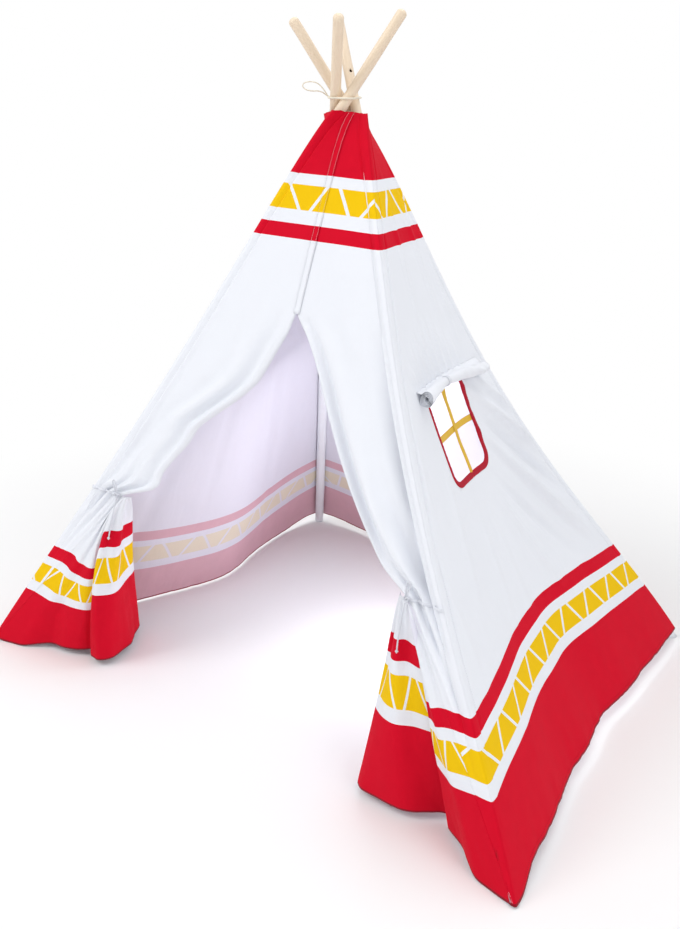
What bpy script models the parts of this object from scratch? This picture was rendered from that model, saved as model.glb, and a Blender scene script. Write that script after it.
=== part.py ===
"""Kids teepee: four wooden poles crossed and tied near the top, with a cotton cover.

Metres, +Z up.  The door looks along -Y and the window is in the +X wall.
The four poles pass each other side by side at the crossing, each on its own
side of the middle, so they can swing in towards one another as one bundle.
"""

import math

import bmesh
import bpy
from mathutils import Matrix, Vector

# Poles: where they stand, how they cross and how they are made.
FRONT_SPAN = 1.349
BACK_SPAN = 1.079
DEPTH = 1.010
CROSSING_X = -0.008
CROSSING_Y = -0.096
CROSSING_HEIGHT = 1.206
POLE_LENGTH = 1.632
POLE_RADIUS = 0.0105
CROSSING_OFFSET = 0.0192
POLE_BOW = {"front_left": 0.013, "front_right": 0.031, "back_right": 0.058, "back_left": 0.004}
POLE_SWAY = {"front_left": 0.004, "front_right": -0.021, "back_right": 0.008, "back_left": 0.003}
POLE_STEPS = 14
POLE_END_START = 0.012
POLE_DOME = 0.008
TENON_RADIUS = 0.0092
TENON_LENGTH = 0.030
FERRULE_BORE_RADIUS = 0.0095
CORD_HOLE_RADIUS = 0.0025
CORD_HOLE_PITCH = 0.034
CORD_HOLE_COUNT = 2

# Cover: one cotton cloth with a sleeve along each corner.
CLOTH = 0.0015
CLEARANCE = 0.0003
SLEEVE_CLOTH = 0.0012
SLEEVE_EASE = 0.0006
SLEEVE_TOP = 1.370
POCKET_BASE = 0.0015
SEAM_EASE = 0.0034
HEM_START = 0.031
CROWN_END = 1.424
HEM_SAG = {"right": 0.030, "back": 0.060, "left": 0.115}
BODY_SAG = {"right": 0.012, "back": 0.016, "left": 0.018}
BODY_SAG_SCALE = 4**4 / 3**3
HEM_FOLD = {"right": 0.005, "back": 0.008, "left": 0.008}
HEM_FOLD_COUNT = {"right": 4, "back": 4, "left": 3}
HEM_FOLD_HEIGHT_SHARE = 0.42

# Door: two halves sewn to a placket above the point, tied back to the corners below it.
DOOR_POINT_HEIGHT = 0.825
DOOR_TIE_HEIGHT = 0.402
DOOR_TIE_OUT = 0.367
DOOR_CORNER_LEAF = 0.010
PLACKET_WIDTH = 0.014
PLACKET_CLOTH = 0.0010
GATHER_DEPTH = 0.007
GATHER_REACH = 0.17
GATHER_FOLDS = 4.5
TAIL_HEM_HEIGHT = 0.020
TAIL_BELLY = 0.018
TAIL_TOP_SPREAD = 0.024
TAIL_PATH_SHARES = {
    "left": ((0.975, 0.004), (0.900, 0.022), (0.810, 0.075), (0.710, 0.060),
             (0.625, 0.075), (0.590, 0.130), (0.610, 0.200), (0.650, 0.270), (0.690, 0.335)),
    "right": ((0.975, 0.004), (0.890, 0.020), (0.790, 0.120), (0.700, 0.140),
              (0.600, 0.085), (0.470, 0.110), (0.455, 0.180), (0.560, 0.240), (0.640, 0.250)),
}

# Grid of the cloth pieces.
CLOTH_ROWS = 18
CROWN_ROW_EASE = 1.6
WALL_COLUMNS = 16
DOOR_COLUMNS = 10
TAIL_COLUMNS = 18
TAIL_ROWS = 8

# Door ties: a tape from the corner seam to a knot at each tied-back edge, with a bow of cord.
TIE_WIDTH = 0.007
TIE_TAPE = 0.0012
TIE_STAND = 0.0010
TIE_TAPE_SHARES = (0.03, 0.97)
TIE_KNOT_SIZE = (0.0075, 0.0060, 0.0070)
TIE_KNOT_OUT_SHARE = 0.06
TIE_CORD_RADIUS = 0.0014
TIE_END_SIZE = (0.0028, 0.0028, 0.0034)
TIE_CORD_STEP = 0.006

# Routes of the free cords from the middle of their knot: out to the side, back and up.
TIE_LOOP_ROUTE = (
    (0.0015, -0.0010, 0.0074), (0.0025, -0.0018, 0.0150), (0.0060, -0.0020, 0.0230), (0.0075, -0.0015, 0.0290),
    (0.0050, -0.0010, 0.0335), (0.0010, -0.0010, 0.0315), (-0.0010, -0.0012, 0.0250), (-0.0018, -0.0012, 0.0170),
    (-0.0022, -0.0008, 0.0074),
)
TIE_TAIL_ROUTE = (
    (-0.0020, -0.0030, -0.0072), (-0.0020, -0.0050, -0.0150), (-0.0015, -0.0090, -0.0260),
    (-0.0010, -0.0140, -0.0400), (-0.0005, -0.0190, -0.0560), (0.0000, -0.0235, -0.0720),
    (0.0010, -0.0270, -0.0880),
)

# Window in the right wall, with its bound edge, ribbon cross and rolled flap.
WINDOW_WIDTH = 0.176
WINDOW_HEIGHT = 0.184
WINDOW_CORNER = 0.030
WINDOW_ALONG = -0.015
WINDOW_UP = 0.664
BINDING_WIDTH = 0.014
BINDING_CLOTH = 0.0009
RIBBON_WIDTH = 0.013
RIBBON_CLOTH = 0.0006
FLAP_WIDTH = 0.305
FLAP_OFFSET = 0.025
FLAP_ROLL_RADIUS = 0.0125
FLAP_TURNS = 3
FLAP_PITCH = 0.0021
FLAP_PINCH_SHARE = 0.10
FLAP_PINCH_REACH = 0.035
FLAP_TIE_WIDTH = 0.010
FLAP_TIE_OFFSET = -0.003
FLAP_TIE_CLOTH = 0.0010

# Elastic cord round the crossing, and its free loop.
LASHING_RADIUS = 0.0020
LASHING_RISE = 0.010
LOOP_RADIUS = 0.0011

# Route of the cord's free loop, from the middle of the crossing.
LOOP_ROUTE = (
    (-0.0312, -0.0076, 0.0100), (-0.0356, -0.0120, 0.0130), (-0.0409, -0.0171, 0.0180), (-0.0477, -0.0233, 0.0205),
    (-0.0563, -0.0322, 0.0205), (-0.0645, -0.0405, 0.0235), (-0.0672, -0.0450, 0.0295), (-0.0630, -0.0442, 0.0350),
    (-0.0532, -0.0377, 0.0372), (-0.0439, -0.0304, 0.0345), (-0.0366, -0.0239, 0.0265), (-0.0308, -0.0190, 0.0165),
    (-0.0273, -0.0170, 0.0100),
)

CORNERS = ("front_left", "front_right", "back_right", "back_left")
SIDES = ((-1, "left"), (1, "right"))
WALLS = {
    "front": ("front_left", "front_right"),
    "right": ("front_right", "back_right"),
    "back": ("back_right", "back_left"),
    "left": ("back_left", "front_left"),
}
UP = Vector((0, 0, 1))
APEX = Vector((CROSSING_X, CROSSING_Y, CROSSING_HEIGHT))


# Frame geometry: every cover and pole point comes from these functions.


def foot(corner):
    """Where a pole's axis meets the floor."""
    front = corner.startswith("front")
    span = FRONT_SPAN if front else BACK_SPAN
    side = -1 if corner.endswith("left") else 1
    return Vector((side * span / 2, (-1 if front else 1) * DEPTH / 2, 0))


def radial(corner):
    """Level direction from the middle out to a corner."""
    return (foot(corner) - APEX).to_2d().to_3d().normalized()


def tangent(corner):
    """Level direction across a pole, anticlockwise from above."""
    return UP.cross(radial(corner))


def crossing(corner):
    """Point of a pole's axis at the crossing height, also its fold hinge."""
    return APEX + CROSSING_OFFSET * tangent(corner)


SLANTS = {corner: (crossing(corner) - foot(corner)).length for corner in CORNERS}
SLANT = sum(SLANTS.values()) / len(SLANTS)
POLE_STEP = SLANT / POLE_STEPS


def bowed_point(corner, distance):
    """Point of a pole's axis, by its distance from the foot; the cloth bows it below the crossing."""
    share = min(max(distance / SLANTS[corner], 0), 1)
    direction = (crossing(corner) - foot(corner)).normalized()
    bow = POLE_SWAY[corner] * tangent(corner) - POLE_BOW[corner] * radial(corner)
    return foot(corner) + direction * distance + bow * 16 * share**2 * (1 - share) ** 2


def pole_point(corner, distance):
    """The bowed axis in short straight steps, which pole, ferrule and sleeve all share."""
    place = distance / POLE_STEP
    below = math.floor(place)
    start = bowed_point(corner, below * POLE_STEP)
    return start.lerp(bowed_point(corner, (below + 1) * POLE_STEP), place - below)


def wall_normal(wall):
    """Outward unit normal of a wall's plane."""
    start, end = (foot(c) for c in WALLS[wall])
    return (end - start).cross(APEX - start).normalized()


def corner_walls(corner):
    """The wall that ends at a corner and the wall that starts there."""
    before = next(w for w, ends in WALLS.items() if ends[1] == corner)
    after = next(w for w, ends in WALLS.items() if ends[0] == corner)
    return before, after


SLEEVE_RADIUS = POLE_RADIUS + SLEEVE_EASE + SLEEVE_CLOTH


def seam_offset(corner, distance):
    """Level step from a pole's axis out to the corner seam, so both walls clear the sleeve."""
    walls = corner_walls(corner)
    corners = (WALLS[walls[0]][0], corner, WALLS[walls[1]][1])
    spots = [pole_point(c, distance) for c in corners]
    reach = SLEEVE_RADIUS + SEAM_EASE + CLOTH / 2
    ways, reaches = [], []
    for i, wall in enumerate(walls):
        ways.append((spots[i + 1] - spots[i]).cross(UP).normalized())
        reaches.append(reach / wall_normal(wall).to_2d().length)
    across = ways[0].x * ways[1].y - ways[0].y * ways[1].x
    x = (reaches[0] * ways[1].y - reaches[1] * ways[0].y) / across
    y = (reaches[1] * ways[0].x - reaches[0] * ways[1].x) / across
    return Vector((x, y, 0))


def edge_inset(corner):
    """How far each wall stops short of the corner seam, so two walls don't overlap."""
    before, after = (wall_normal(w) for w in corner_walls(corner))
    half_angle = (math.pi - before.angle(after)) / 2
    return CLOTH / 2 / math.tan(half_angle) + 4 * CLEARANCE


EDGE_INSETS = {corner: edge_inset(corner) for corner in CORNERS}


def seam_point(corner, up_share):
    """Point of the corner seam, from the hem at 0 to the crown's top edge at 1."""
    distance = HEM_START + (CROWN_END - HEM_START) * up_share
    return pole_point(corner, distance) + seam_offset(corner, distance)


def wall_ends(wall, up_share):
    """The wall's two edge points at one height, each just short of its seam."""
    first, last = (seam_point(c, up_share) for c in WALLS[wall])
    along = (last - first).normalized()
    return first + along * EDGE_INSETS[WALLS[wall][0]], last - along * EDGE_INSETS[WALLS[wall][1]]


def wall_way(wall, up_share):
    """Outward unit normal of a wall at one height, where the crossing poles turn it a little."""
    first, last = wall_ends(wall, up_share)
    rise = sum(wall_ends(wall, up_share + HEM_START), Vector()) - first - last
    return (last - first).cross(rise).normalized()


def wall_sag(wall, along_share, up_share):
    """How far the cloth hangs in from the flat wall: nothing at the corners and crown."""
    if wall == "front":
        return 0.0
    arch = math.sin(math.pi * along_share) ** 2.5
    down = 1 - up_share
    sag = HEM_SAG[wall] * down**2 + BODY_SAG[wall] * BODY_SAG_SCALE * up_share * down**3
    fold = max(0.0, 1 - up_share / HEM_FOLD_HEIGHT_SHARE) ** 2
    ripple = math.sin(2 * math.pi * HEM_FOLD_COUNT[wall] * along_share)
    return arch * (sag + HEM_FOLD[wall] * fold * ripple)


def wall_point(wall, along_share, up_share, out=0.0):
    """Point of a wall's cloth, or one that stands out of it."""
    first, last = wall_ends(wall, up_share)
    normal = wall_normal(wall)
    level = normal.to_2d().to_3d().normalized()
    return first.lerp(last, along_share) + normal * out - level * wall_sag(wall, along_share, up_share)


def up_share_at(height):
    """Share up the seam at a height above the floor."""
    distance = height * SLANT / CROSSING_HEIGHT
    return (distance - HEM_START) / (CROWN_END - HEM_START)


def row_up_share(zone_share):
    """Height share of a row of cloth: even thirds to the tie, to the door's point and to the crown."""
    stops = (0, up_share_at(DOOR_TIE_HEIGHT), up_share_at(DOOR_POINT_HEIGHT), 1)
    zone = min(int(zone_share * 3 + 1e-6), 2)
    share = zone_share * 3 - zone
    if zone == 2:
        share = 1 - max(0, 1 - share) ** CROWN_ROW_EASE
    return stops[zone] + (stops[zone + 1] - stops[zone]) * share


def door_edge(side, up_share):
    """Inner edge of a door half: the placket, then a straight line to the tie and on to the hem."""
    first, last = wall_ends("front", up_share)
    corner = first if side < 0 else last
    tie_share, point_share = up_share_at(DOOR_TIE_HEIGHT), up_share_at(DOOR_POINT_HEIGHT)
    if up_share >= point_share:
        return (first + last) / 2 + (last - first).normalized() * side * CLEARANCE, corner
    if up_share >= tie_share:
        point = door_edge(side, point_share)[0].x
        x = point + (side * DOOR_TIE_OUT - point) * (point_share - up_share) / (point_share - tie_share)
    else:
        hem_out = abs(wall_ends("front", 0)[1].x) - DOOR_CORNER_LEAF
        x = side * (DOOR_TIE_OUT + (hem_out - DOOR_TIE_OUT) * (tie_share - up_share) / tie_share)
    return first.lerp(last, (x - first.x) / (last.x - first.x)), corner


def door_point(side, out_share, up_share, out=0.0):
    """Point of a door half: 0 at its inner edge, 1 at its corner, gathered in folds at the tie."""
    inner, corner = door_edge(side, up_share)
    point = inner.lerp(corner, out_share)
    tie = door_edge(side, up_share_at(DOOR_TIE_HEIGHT))[0]
    away = point - tie
    fade = math.exp(-away.length / GATHER_REACH) * math.sin(math.pi * out_share) ** 2
    turn = math.atan2(away.z, side * away.x)
    gather = GATHER_DEPTH * fade * math.sin(GATHER_FOLDS * turn * 2)
    return point + wall_normal("front") * (out + gather)


def smooth(points, share):
    """Point at a share of a smooth path through the points."""
    place = min(max(share, 0), 1) * (len(points) - 1)
    i = min(int(place), len(points) - 2)
    t = place - i
    p0, p1, p2, p3 = (points[min(max(k, 0), len(points) - 1)] for k in range(i - 1, i + 3))
    return (
        2 * p1 + (p2 - p0) * t + (2 * p0 - 5 * p1 + 4 * p2 - p3) * t**2 + (3 * p1 - p0 - 3 * p2 + p3) * t**3
    ) / 2


def tail_point(side, across_share, up_share):
    """Point of a door tail: it fans out from the tie down to a wavy hem."""
    half = FRONT_SPAN / 2
    path = TAIL_PATH_SHARES["left" if side < 0 else "right"]
    hem = [Vector((side * x * half, inward * half - DEPTH / 2, TAIL_HEM_HEIGHT)) for x, inward in path]
    gap = Vector((side * CLOTH, 0, 0))
    hem[0] = door_edge(side, 0)[0] - gap
    low = smooth(hem, across_share)
    tie = door_edge(side, up_share_at(DOOR_TIE_HEIGHT))[0] - gap - UP * 2 * CLOTH
    spread = Vector((-side * TAIL_TOP_SPREAD * across_share, TAIL_TOP_SPREAD * across_share * (across_share - 0.5), 0))
    top = tie + spread
    belly = TAIL_BELLY * math.sin(math.pi * up_share) * math.sin(math.pi * across_share)
    return low.lerp(top, up_share) + Vector((0, -belly, 0))


# Modelling helpers.


def clear_scene():
    for thing in list(bpy.data.objects):
        bpy.data.objects.remove(thing, do_unlink=True)


def collection(name):
    found = bpy.data.collections.new(name)
    bpy.context.scene.collection.children.link(found)
    return found


def material(name, color, roughness, metallic=0.0):
    made = bpy.data.materials.new(name)
    made.use_nodes = True
    shader = made.node_tree.nodes["Principled BSDF"]
    shader.inputs["Base Color"].default_value = (*color, 1)
    shader.inputs["Roughness"].default_value = roughness
    shader.inputs["Metallic"].default_value = metallic
    made.diffuse_color = (*color, 1)
    return made


def add_object(name, data, look):
    made = bpy.data.objects.new(name, data)
    PARTS.objects.link(made)
    made.data.materials.clear()
    made.data.materials.append(MATERIALS[look])
    return made


def sheet(name, columns, rows, place, thickness, look, closed=False):
    """Cloth: a grid bent to place(across, up), each from 0 to 1, then given its thickness."""
    form = bmesh.new()
    bmesh.ops.create_grid(form, x_segments=columns, y_segments=rows, size=1)
    for vertex in form.verts:
        vertex.co = place((vertex.co.x + 1) / 2, (vertex.co.y + 1) / 2)
    if closed:
        bmesh.ops.remove_doubles(form, verts=form.verts, dist=CLEARANCE / 10)
    mesh = bpy.data.meshes.new(name)
    form.to_mesh(mesh)
    form.free()
    mesh.shade_smooth()
    made = add_object(name, mesh, look)
    solid = made.modifiers.new("thickness", "SOLIDIFY")
    solid.thickness = thickness
    solid.offset = 0
    return made


def rod(name, points, radius, look, radii=None, resolution=3, cyclic=False):
    """Round bar or cord along a path, with a radius share for each point where it narrows."""
    curve = bpy.data.curves.new(name, "CURVE")
    curve.dimensions = "3D"
    curve.bevel_depth = radius
    curve.bevel_resolution = resolution
    curve.use_fill_caps = True
    line = curve.splines.new("POLY")
    line.points.add(len(points) - 1)
    for i, point in enumerate(points):
        line.points[i].co = (*point, 1)
        line.points[i].radius = radii[i] if radii else 1
    line.use_cyclic_u = cyclic
    return add_object(name, curve, look)


def ball(name, middle, size, look):
    """Rounded knot, sized along each axis."""
    bpy.ops.mesh.primitive_uv_sphere_add(segments=12, ring_count=8, radius=1)
    made = bpy.context.object
    made.name = name
    for owner in list(made.users_collection):
        owner.objects.unlink(made)
    PARTS.objects.link(made)
    made.data.transform(Matrix.Diagonal((*size, 1)))
    made.data.transform(Matrix.Translation(middle))
    made.data.materials.append(MATERIALS[look])
    made.data.shade_smooth()
    return made


def cord(name, route, middle, side, radius):
    """Free cord on one smooth curve through its route."""
    points = [middle + Vector((side * x, y, z)) for x, y, z in route]
    length = sum((b - a).length for a, b in zip(points, points[1:]))
    count = math.ceil(length / TIE_CORD_STEP)
    return rod(name, [smooth(points, i / count) for i in range(count + 1)], radius, "cord", resolution=2)


def to_mesh(made):
    """Turn a curve object into a closed mesh object of the same name."""
    bpy.context.view_layer.update()
    evaluated = made.evaluated_get(bpy.context.evaluated_depsgraph_get())
    mesh = bpy.data.meshes.new_from_object(evaluated)
    form = bmesh.new()
    form.from_mesh(mesh)
    bmesh.ops.remove_doubles(form, verts=form.verts, dist=CLEARANCE / 10)
    form.to_mesh(mesh)
    form.free()
    mesh.shade_smooth()
    name, place, look = made.name, made.matrix_world.copy(), made.data.materials[0]
    bpy.data.objects.remove(made, do_unlink=True)
    solid = bpy.data.objects.new(name, mesh)
    PARTS.objects.link(solid)
    solid.matrix_world = place
    solid.data.materials.clear()
    solid.data.materials.append(look)
    return solid


def as_cutter(made):
    PARTS.objects.unlink(made)
    CUTTERS.objects.link(made)
    made.hide_render = True
    made.display_type = "WIRE"
    return made


def cut(made, cutter):
    tool = made.modifiers.new("cut " + cutter.name, "BOOLEAN")
    tool.operation = "DIFFERENCE"
    tool.solver = "EXACT"
    tool.object = as_cutter(cutter)


def block(name, low, high, look):
    """Box between two corners."""
    bpy.ops.mesh.primitive_cube_add(size=1)
    made = bpy.context.object
    made.name = name
    for owner in list(made.users_collection):
        owner.objects.unlink(made)
    PARTS.objects.link(made)
    made.data.transform(Matrix.Diagonal((*(high - low), 1)))
    made.data.transform(Matrix.Translation((high + low) / 2))
    made.data.materials.append(MATERIALS[look])
    return made


# Sub-parts.


def turned(corner, sections, name, resolution=4):
    """Round bar along a pole's axis from (distance, radius) pairs."""
    widest = max(radius for _, radius in sections)
    points = [pole_point(corner, distance) for distance, _ in sections]
    return rod(name, points, widest, "wood", [radius / widest for _, radius in sections], resolution)


def stretch(start, end, radius):
    """(distance, radius) pairs from start to end, with one at each step of the bowed axis."""
    first, last = math.floor(start / POLE_STEP) + 1, math.ceil(end / POLE_STEP) - 1
    between = [k * POLE_STEP for k in range(first, last + 1)]
    between = [d for d in between if start + CLEARANCE < d < end - CLEARANCE]
    return [(d, radius) for d in [start, *between, end]]


def build_pole(corner):
    """Two turned wooden sections that meet inside a flush steel ferrule."""
    joint = POLE_LENGTH / 2
    shoulder = TENON_LENGTH + CLEARANCE
    lower = stretch(POLE_END_START, joint - shoulder - CLEARANCE, POLE_RADIUS)
    lower += [(joint - shoulder, TENON_RADIUS), (joint - CLEARANCE / 2, TENON_RADIUS)]
    to_mesh(turned(corner, lower, f"pole_{corner}_lower"))

    upper = [(joint + CLEARANCE / 2, TENON_RADIUS), (joint + shoulder, TENON_RADIUS)]
    upper += stretch(joint + shoulder + CLEARANCE, POLE_LENGTH - POLE_DOME, POLE_RADIUS)
    for turn in (0.5, 0.85):
        angle = turn * math.pi / 2
        upper.append((POLE_LENGTH - POLE_DOME * (1 - math.sin(angle)), POLE_RADIUS * math.cos(angle)))
    section = to_mesh(turned(corner, upper, f"pole_{corner}_upper"))
    for i in range(CORD_HOLE_COUNT):
        middle = pole_point(corner, SLANTS[corner] + (i + 1) * CORD_HOLE_PITCH)
        reach = tangent(corner) * POLE_RADIUS * 2
        hole = to_mesh(rod(f"cord_hole_{corner}_{i}", [middle - reach, middle + reach], CORD_HOLE_RADIUS, "wood"))
        cut(section, hole)

    span = shoulder - CLEARANCE
    ferrule = stretch(joint - span, joint + span, POLE_RADIUS)
    tube = to_mesh(turned(corner, ferrule, f"ferrule_{corner}"))
    tube.data.materials[0] = MATERIALS["steel"]
    bore = stretch(joint - 2 * span, joint + 2 * span, FERRULE_BORE_RADIUS)
    cut(tube, to_mesh(turned(corner, bore, f"ferrule_bore_{corner}")))


def build_sleeve(corner):
    """Cloth tube along a corner, with a closed pocket that the pole stands in."""
    outer = stretch(-SLEEVE_RADIUS, SLEEVE_TOP, SLEEVE_RADIUS)
    sleeve = to_mesh(turned(corner, outer, f"sleeve_{corner}"))
    sleeve.data.materials[0] = MATERIALS["white_cloth"]
    inner = stretch(POLE_END_START - CLEARANCE, SLEEVE_TOP + SLEEVE_RADIUS, POLE_RADIUS + SLEEVE_EASE)
    cut(sleeve, to_mesh(turned(corner, inner, f"sleeve_bore_{corner}")))
    size = Vector((SLEEVE_RADIUS, SLEEVE_RADIUS, SLEEVE_RADIUS)) * 4
    base = foot(corner) - UP * size.z / 2
    cut(sleeve, block(f"floor_cut_{corner}", base - size / 2, base + size / 2, "white_cloth"))


def lashing_path(count):
    """Closed loop pulled tight round the four poles, level, just above the crossing."""
    lean = (SLANT**2 - CROSSING_HEIGHT**2) ** 0.5 / CROSSING_HEIGHT
    long = POLE_RADIUS * SLANT / CROSSING_HEIGHT
    points = []
    for i in range(count):
        angle = 2 * math.pi * i / count
        way = Vector((math.cos(angle), math.sin(angle), 0))
        best = None
        for corner in CORNERS:
            middle = crossing(corner) - radial(corner) * lean * LASHING_RISE
            a, b = long * way.dot(radial(corner)), POLE_RADIUS * way.dot(tangent(corner))
            reach = math.hypot(a, b)
            touch = middle + (radial(corner) * a * long + tangent(corner) * b * POLE_RADIUS) / reach
            if best is None or touch.dot(way) > best.dot(way):
                best = touch
        points.append(best + way * (LASHING_RADIUS + 2 * CLEARANCE) + UP * LASHING_RISE)
    return points


def build_lashing():
    rod("lashing_cord", lashing_path(36), LASHING_RADIUS, "elastic", resolution=2, cyclic=True)
    loop = cord("lashing_loop", LOOP_ROUTE, APEX, 1, LOOP_RADIUS)
    loop.data.materials[0] = MATERIALS["elastic"]


def build_ties():
    """A tape round the gathered cloth, then a knot, one loop of the bow and its hanging end."""
    level = up_share_at(DOOR_TIE_HEIGHT)
    stand = CLOTH / 2 + TIE_STAND + TIE_TAPE / 2
    first, last = wall_ends("front", level)
    rise = wall_way("front", level).cross(last - first).normalized() * -TIE_WIDTH
    start, end = TIE_TAPE_SHARES
    for side, name in SIDES:
        def tape(a, b, s=side):
            across = a if s > 0 else 1 - a
            return door_point(s, start + (end - start) * across, level, stand) + (b - 0.5) * rise

        sheet(f"door_tie_{name}", 6, 1, tape, TIE_TAPE, "cord")
        out = stand + TIE_TAPE / 2 + CLEARANCE + TIE_KNOT_SIZE[1]
        knot = door_point(side, TIE_KNOT_OUT_SHARE, level, out)
        ball(f"door_tie_knot_{name}", knot, TIE_KNOT_SIZE, "cord")
        cord(f"door_tie_loop_{name}", TIE_LOOP_ROUTE, knot, side, TIE_CORD_RADIUS)
        cord(f"door_tie_tail_{name}", TIE_TAIL_ROUTE, knot, side, TIE_CORD_RADIUS)
        last, before = (Vector((side * x, y, z)) for x, y, z in (TIE_TAIL_ROUTE[-1], TIE_TAIL_ROUTE[-2]))
        along = (last - before).normalized() * (TIE_END_SIZE[2] + CLEARANCE)
        ball(f"door_tie_end_{name}", knot + last + along, TIE_END_SIZE, "cord")


def build_walls():
    for wall in ("right", "back", "left"):
        made = sheet(
            f"wall_{wall}", WALL_COLUMNS, CLOTH_ROWS,
            lambda a, b, w=wall: wall_point(w, a, row_up_share(b)), CLOTH, "white_cloth",
        )
        if wall == "right":
            cut_window(made)


def build_door():
    for side, name in SIDES:
        def half(a, b, s=side):
            return door_point(s, 1 - a if s < 0 else a, row_up_share(b))

        sheet(f"door_{name}", DOOR_COLUMNS, CLOTH_ROWS, half, CLOTH, "white_cloth")
        across = (lambda a: a) if side < 0 else (lambda a: 1 - a)
        sheet(
            f"door_tail_{name}", TAIL_COLUMNS, TAIL_ROWS, lambda a, b, s=side, f=across: tail_point(s, f(a), b),
            CLOTH, "white_cloth",
        )
    stand = CLOTH / 2 + 3 * CLEARANCE + PLACKET_CLOTH / 2

    def placket(a, b):
        first, last = wall_ends("front", row_up_share((2 + b) / 3))
        across = (last - first).normalized() * (a - 0.5) * PLACKET_WIDTH
        return (first + last) / 2 + across + wall_way("front", row_up_share((2 + b) / 3)) * stand

    sheet("door_placket", 2, CLOTH_ROWS // 3, placket, PLACKET_CLOTH, "white_cloth")


# Window.


def window_point(x, y, out=0.0):
    """Point of the right wall's cloth by its offset from the window's middle."""
    slope = (wall_point("right", 0.5, 1) - wall_point("right", 0.5, 0)).length
    up_share = (WINDOW_UP + y) / slope
    first, last = wall_ends("right", up_share)
    return wall_point("right", 0.5 + (WINDOW_ALONG + x) / (last - first).length, up_share, out)


def rounded_point(width, height, corner, share):
    """Point and outward direction on a rounded rectangle, anticlockwise from the right side."""
    w, h = width / 2 - corner, height / 2 - corner
    runs = [2 * h, corner * math.pi / 2, 2 * w, corner * math.pi / 2] * 2
    place = (share % 1) * sum(runs)
    starts = [(w + corner, -h, 0), (w, h, 0), (w, h + corner, 90), (-w, h, 90),
              (-w - corner, h, 180), (-w, -h, 180), (-w, -h - corner, 270), (w, -h, 270)]
    for i, run in enumerate(runs):
        if place <= run or i == 7:
            break
        place -= run
    x, y, turn = starts[i]
    angle = math.radians(turn)
    if i % 2 == 0:
        return Vector((x - math.sin(angle) * place, y + math.cos(angle) * place)), Vector(
            (math.cos(angle), math.sin(angle)))
    angle += place / corner
    way = Vector((math.cos(angle), math.sin(angle)))
    return Vector((x, y)) + way * corner, way


def cut_window(wall):
    """Opening through the wall: a prism along the wall's normal."""
    form = bmesh.new()
    count = 32
    reach = wall_normal("right") * HEM_SAG["right"] * 2
    rings = []
    for end in (-1, 1):
        ring = []
        for i in range(count):
            flat, _ = rounded_point(WINDOW_WIDTH, WINDOW_HEIGHT, WINDOW_CORNER, i / count)
            ring.append(form.verts.new(window_point(flat.x, flat.y) + reach * end))
        rings.append(ring)
    form.faces.new(rings[1])
    form.faces.new(list(reversed(rings[0])))
    for i in range(count):
        j = (i + 1) % count
        form.faces.new((rings[0][i], rings[0][j], rings[1][j], rings[1][i]))
    mesh = bpy.data.meshes.new("window_cut")
    form.to_mesh(mesh)
    form.free()
    cut(wall, add_object("window_cut", mesh, "white_cloth"))


def build_window():
    stand = CLOTH / 2 + 3 * CLEARANCE + BINDING_CLOTH / 2

    def binding(a, b):
        flat, way = rounded_point(WINDOW_WIDTH, WINDOW_HEIGHT, WINDOW_CORNER, a)
        flat = flat + way * (0.5 - b) * BINDING_WIDTH
        return window_point(flat.x, flat.y, stand)

    sheet("window_binding", 40, 1, binding, BINDING_CLOTH, "red_cloth", closed=True)
    level = (CLEARANCE + RIBBON_CLOTH) / 2
    half_wide, half_tall = WINDOW_WIDTH / 2 - 2 * CLEARANCE, WINDOW_HEIGHT / 2 - 2 * CLEARANCE
    sheet(
        "window_ribbon_upright", 1, 8,
        lambda a, b: window_point((a - 0.5) * RIBBON_WIDTH, (2 * b - 1) * half_tall, level),
        RIBBON_CLOTH, "yellow_cloth",
    )
    sheet(
        "window_ribbon_level", 8, 1,
        lambda a, b: window_point((2 * a - 1) * half_wide, (b - 0.5) * RIBBON_WIDTH, -level),
        RIBBON_CLOTH, "yellow_cloth",
    )


def flap_frame():
    """Height of the flap's seam over the window's middle, and the roll's middle below it."""
    seam = (WINDOW_HEIGHT + BINDING_WIDTH) / 2 + 2 * CLEARANCE + CLOTH
    stand = CLOTH + BINDING_CLOTH + 5 * CLEARANCE + FLAP_ROLL_RADIUS
    return seam, seam - FLAP_ROLL_RADIUS - CLOTH, stand


def pinch(x):
    return 1 - FLAP_PINCH_SHARE * math.exp(-((x / FLAP_PINCH_REACH) ** 2))


def build_flap():
    """Window flap rolled up under its seam, and the strap that holds the roll."""
    seam, middle, stand = flap_frame()
    turn = 2 * math.pi * FLAP_TURNS

    def roll(a, b):
        x = FLAP_OFFSET + (a - 0.5) * FLAP_WIDTH
        angle = math.pi * 0.62 - turn * (1 - b)
        radius = (FLAP_ROLL_RADIUS - FLAP_PITCH * FLAP_TURNS * (1 - b)) * pinch(x - FLAP_TIE_OFFSET)
        if b > 0.999:
            return window_point(x, seam, CLOTH + CLEARANCE)
        return window_point(x, middle + radius * math.sin(angle), stand + radius * math.cos(angle))

    sheet("window_flap", 10, 44, roll, CLOTH, "white_cloth")

    def strap(a, b):
        x = FLAP_TIE_OFFSET + (a - 0.5) * FLAP_TIE_WIDTH
        radius = FLAP_ROLL_RADIUS * pinch(0) + (CLOTH + FLAP_TIE_CLOTH) / 2 + 2 * CLEARANCE
        angle = math.pi * (0.50 - 1.30 * b)
        return window_point(x, middle + radius * math.sin(angle), stand + radius * math.cos(angle))

    sheet("window_flap_strap", 1, 14, strap, FLAP_TIE_CLOTH, "white_cloth")


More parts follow.
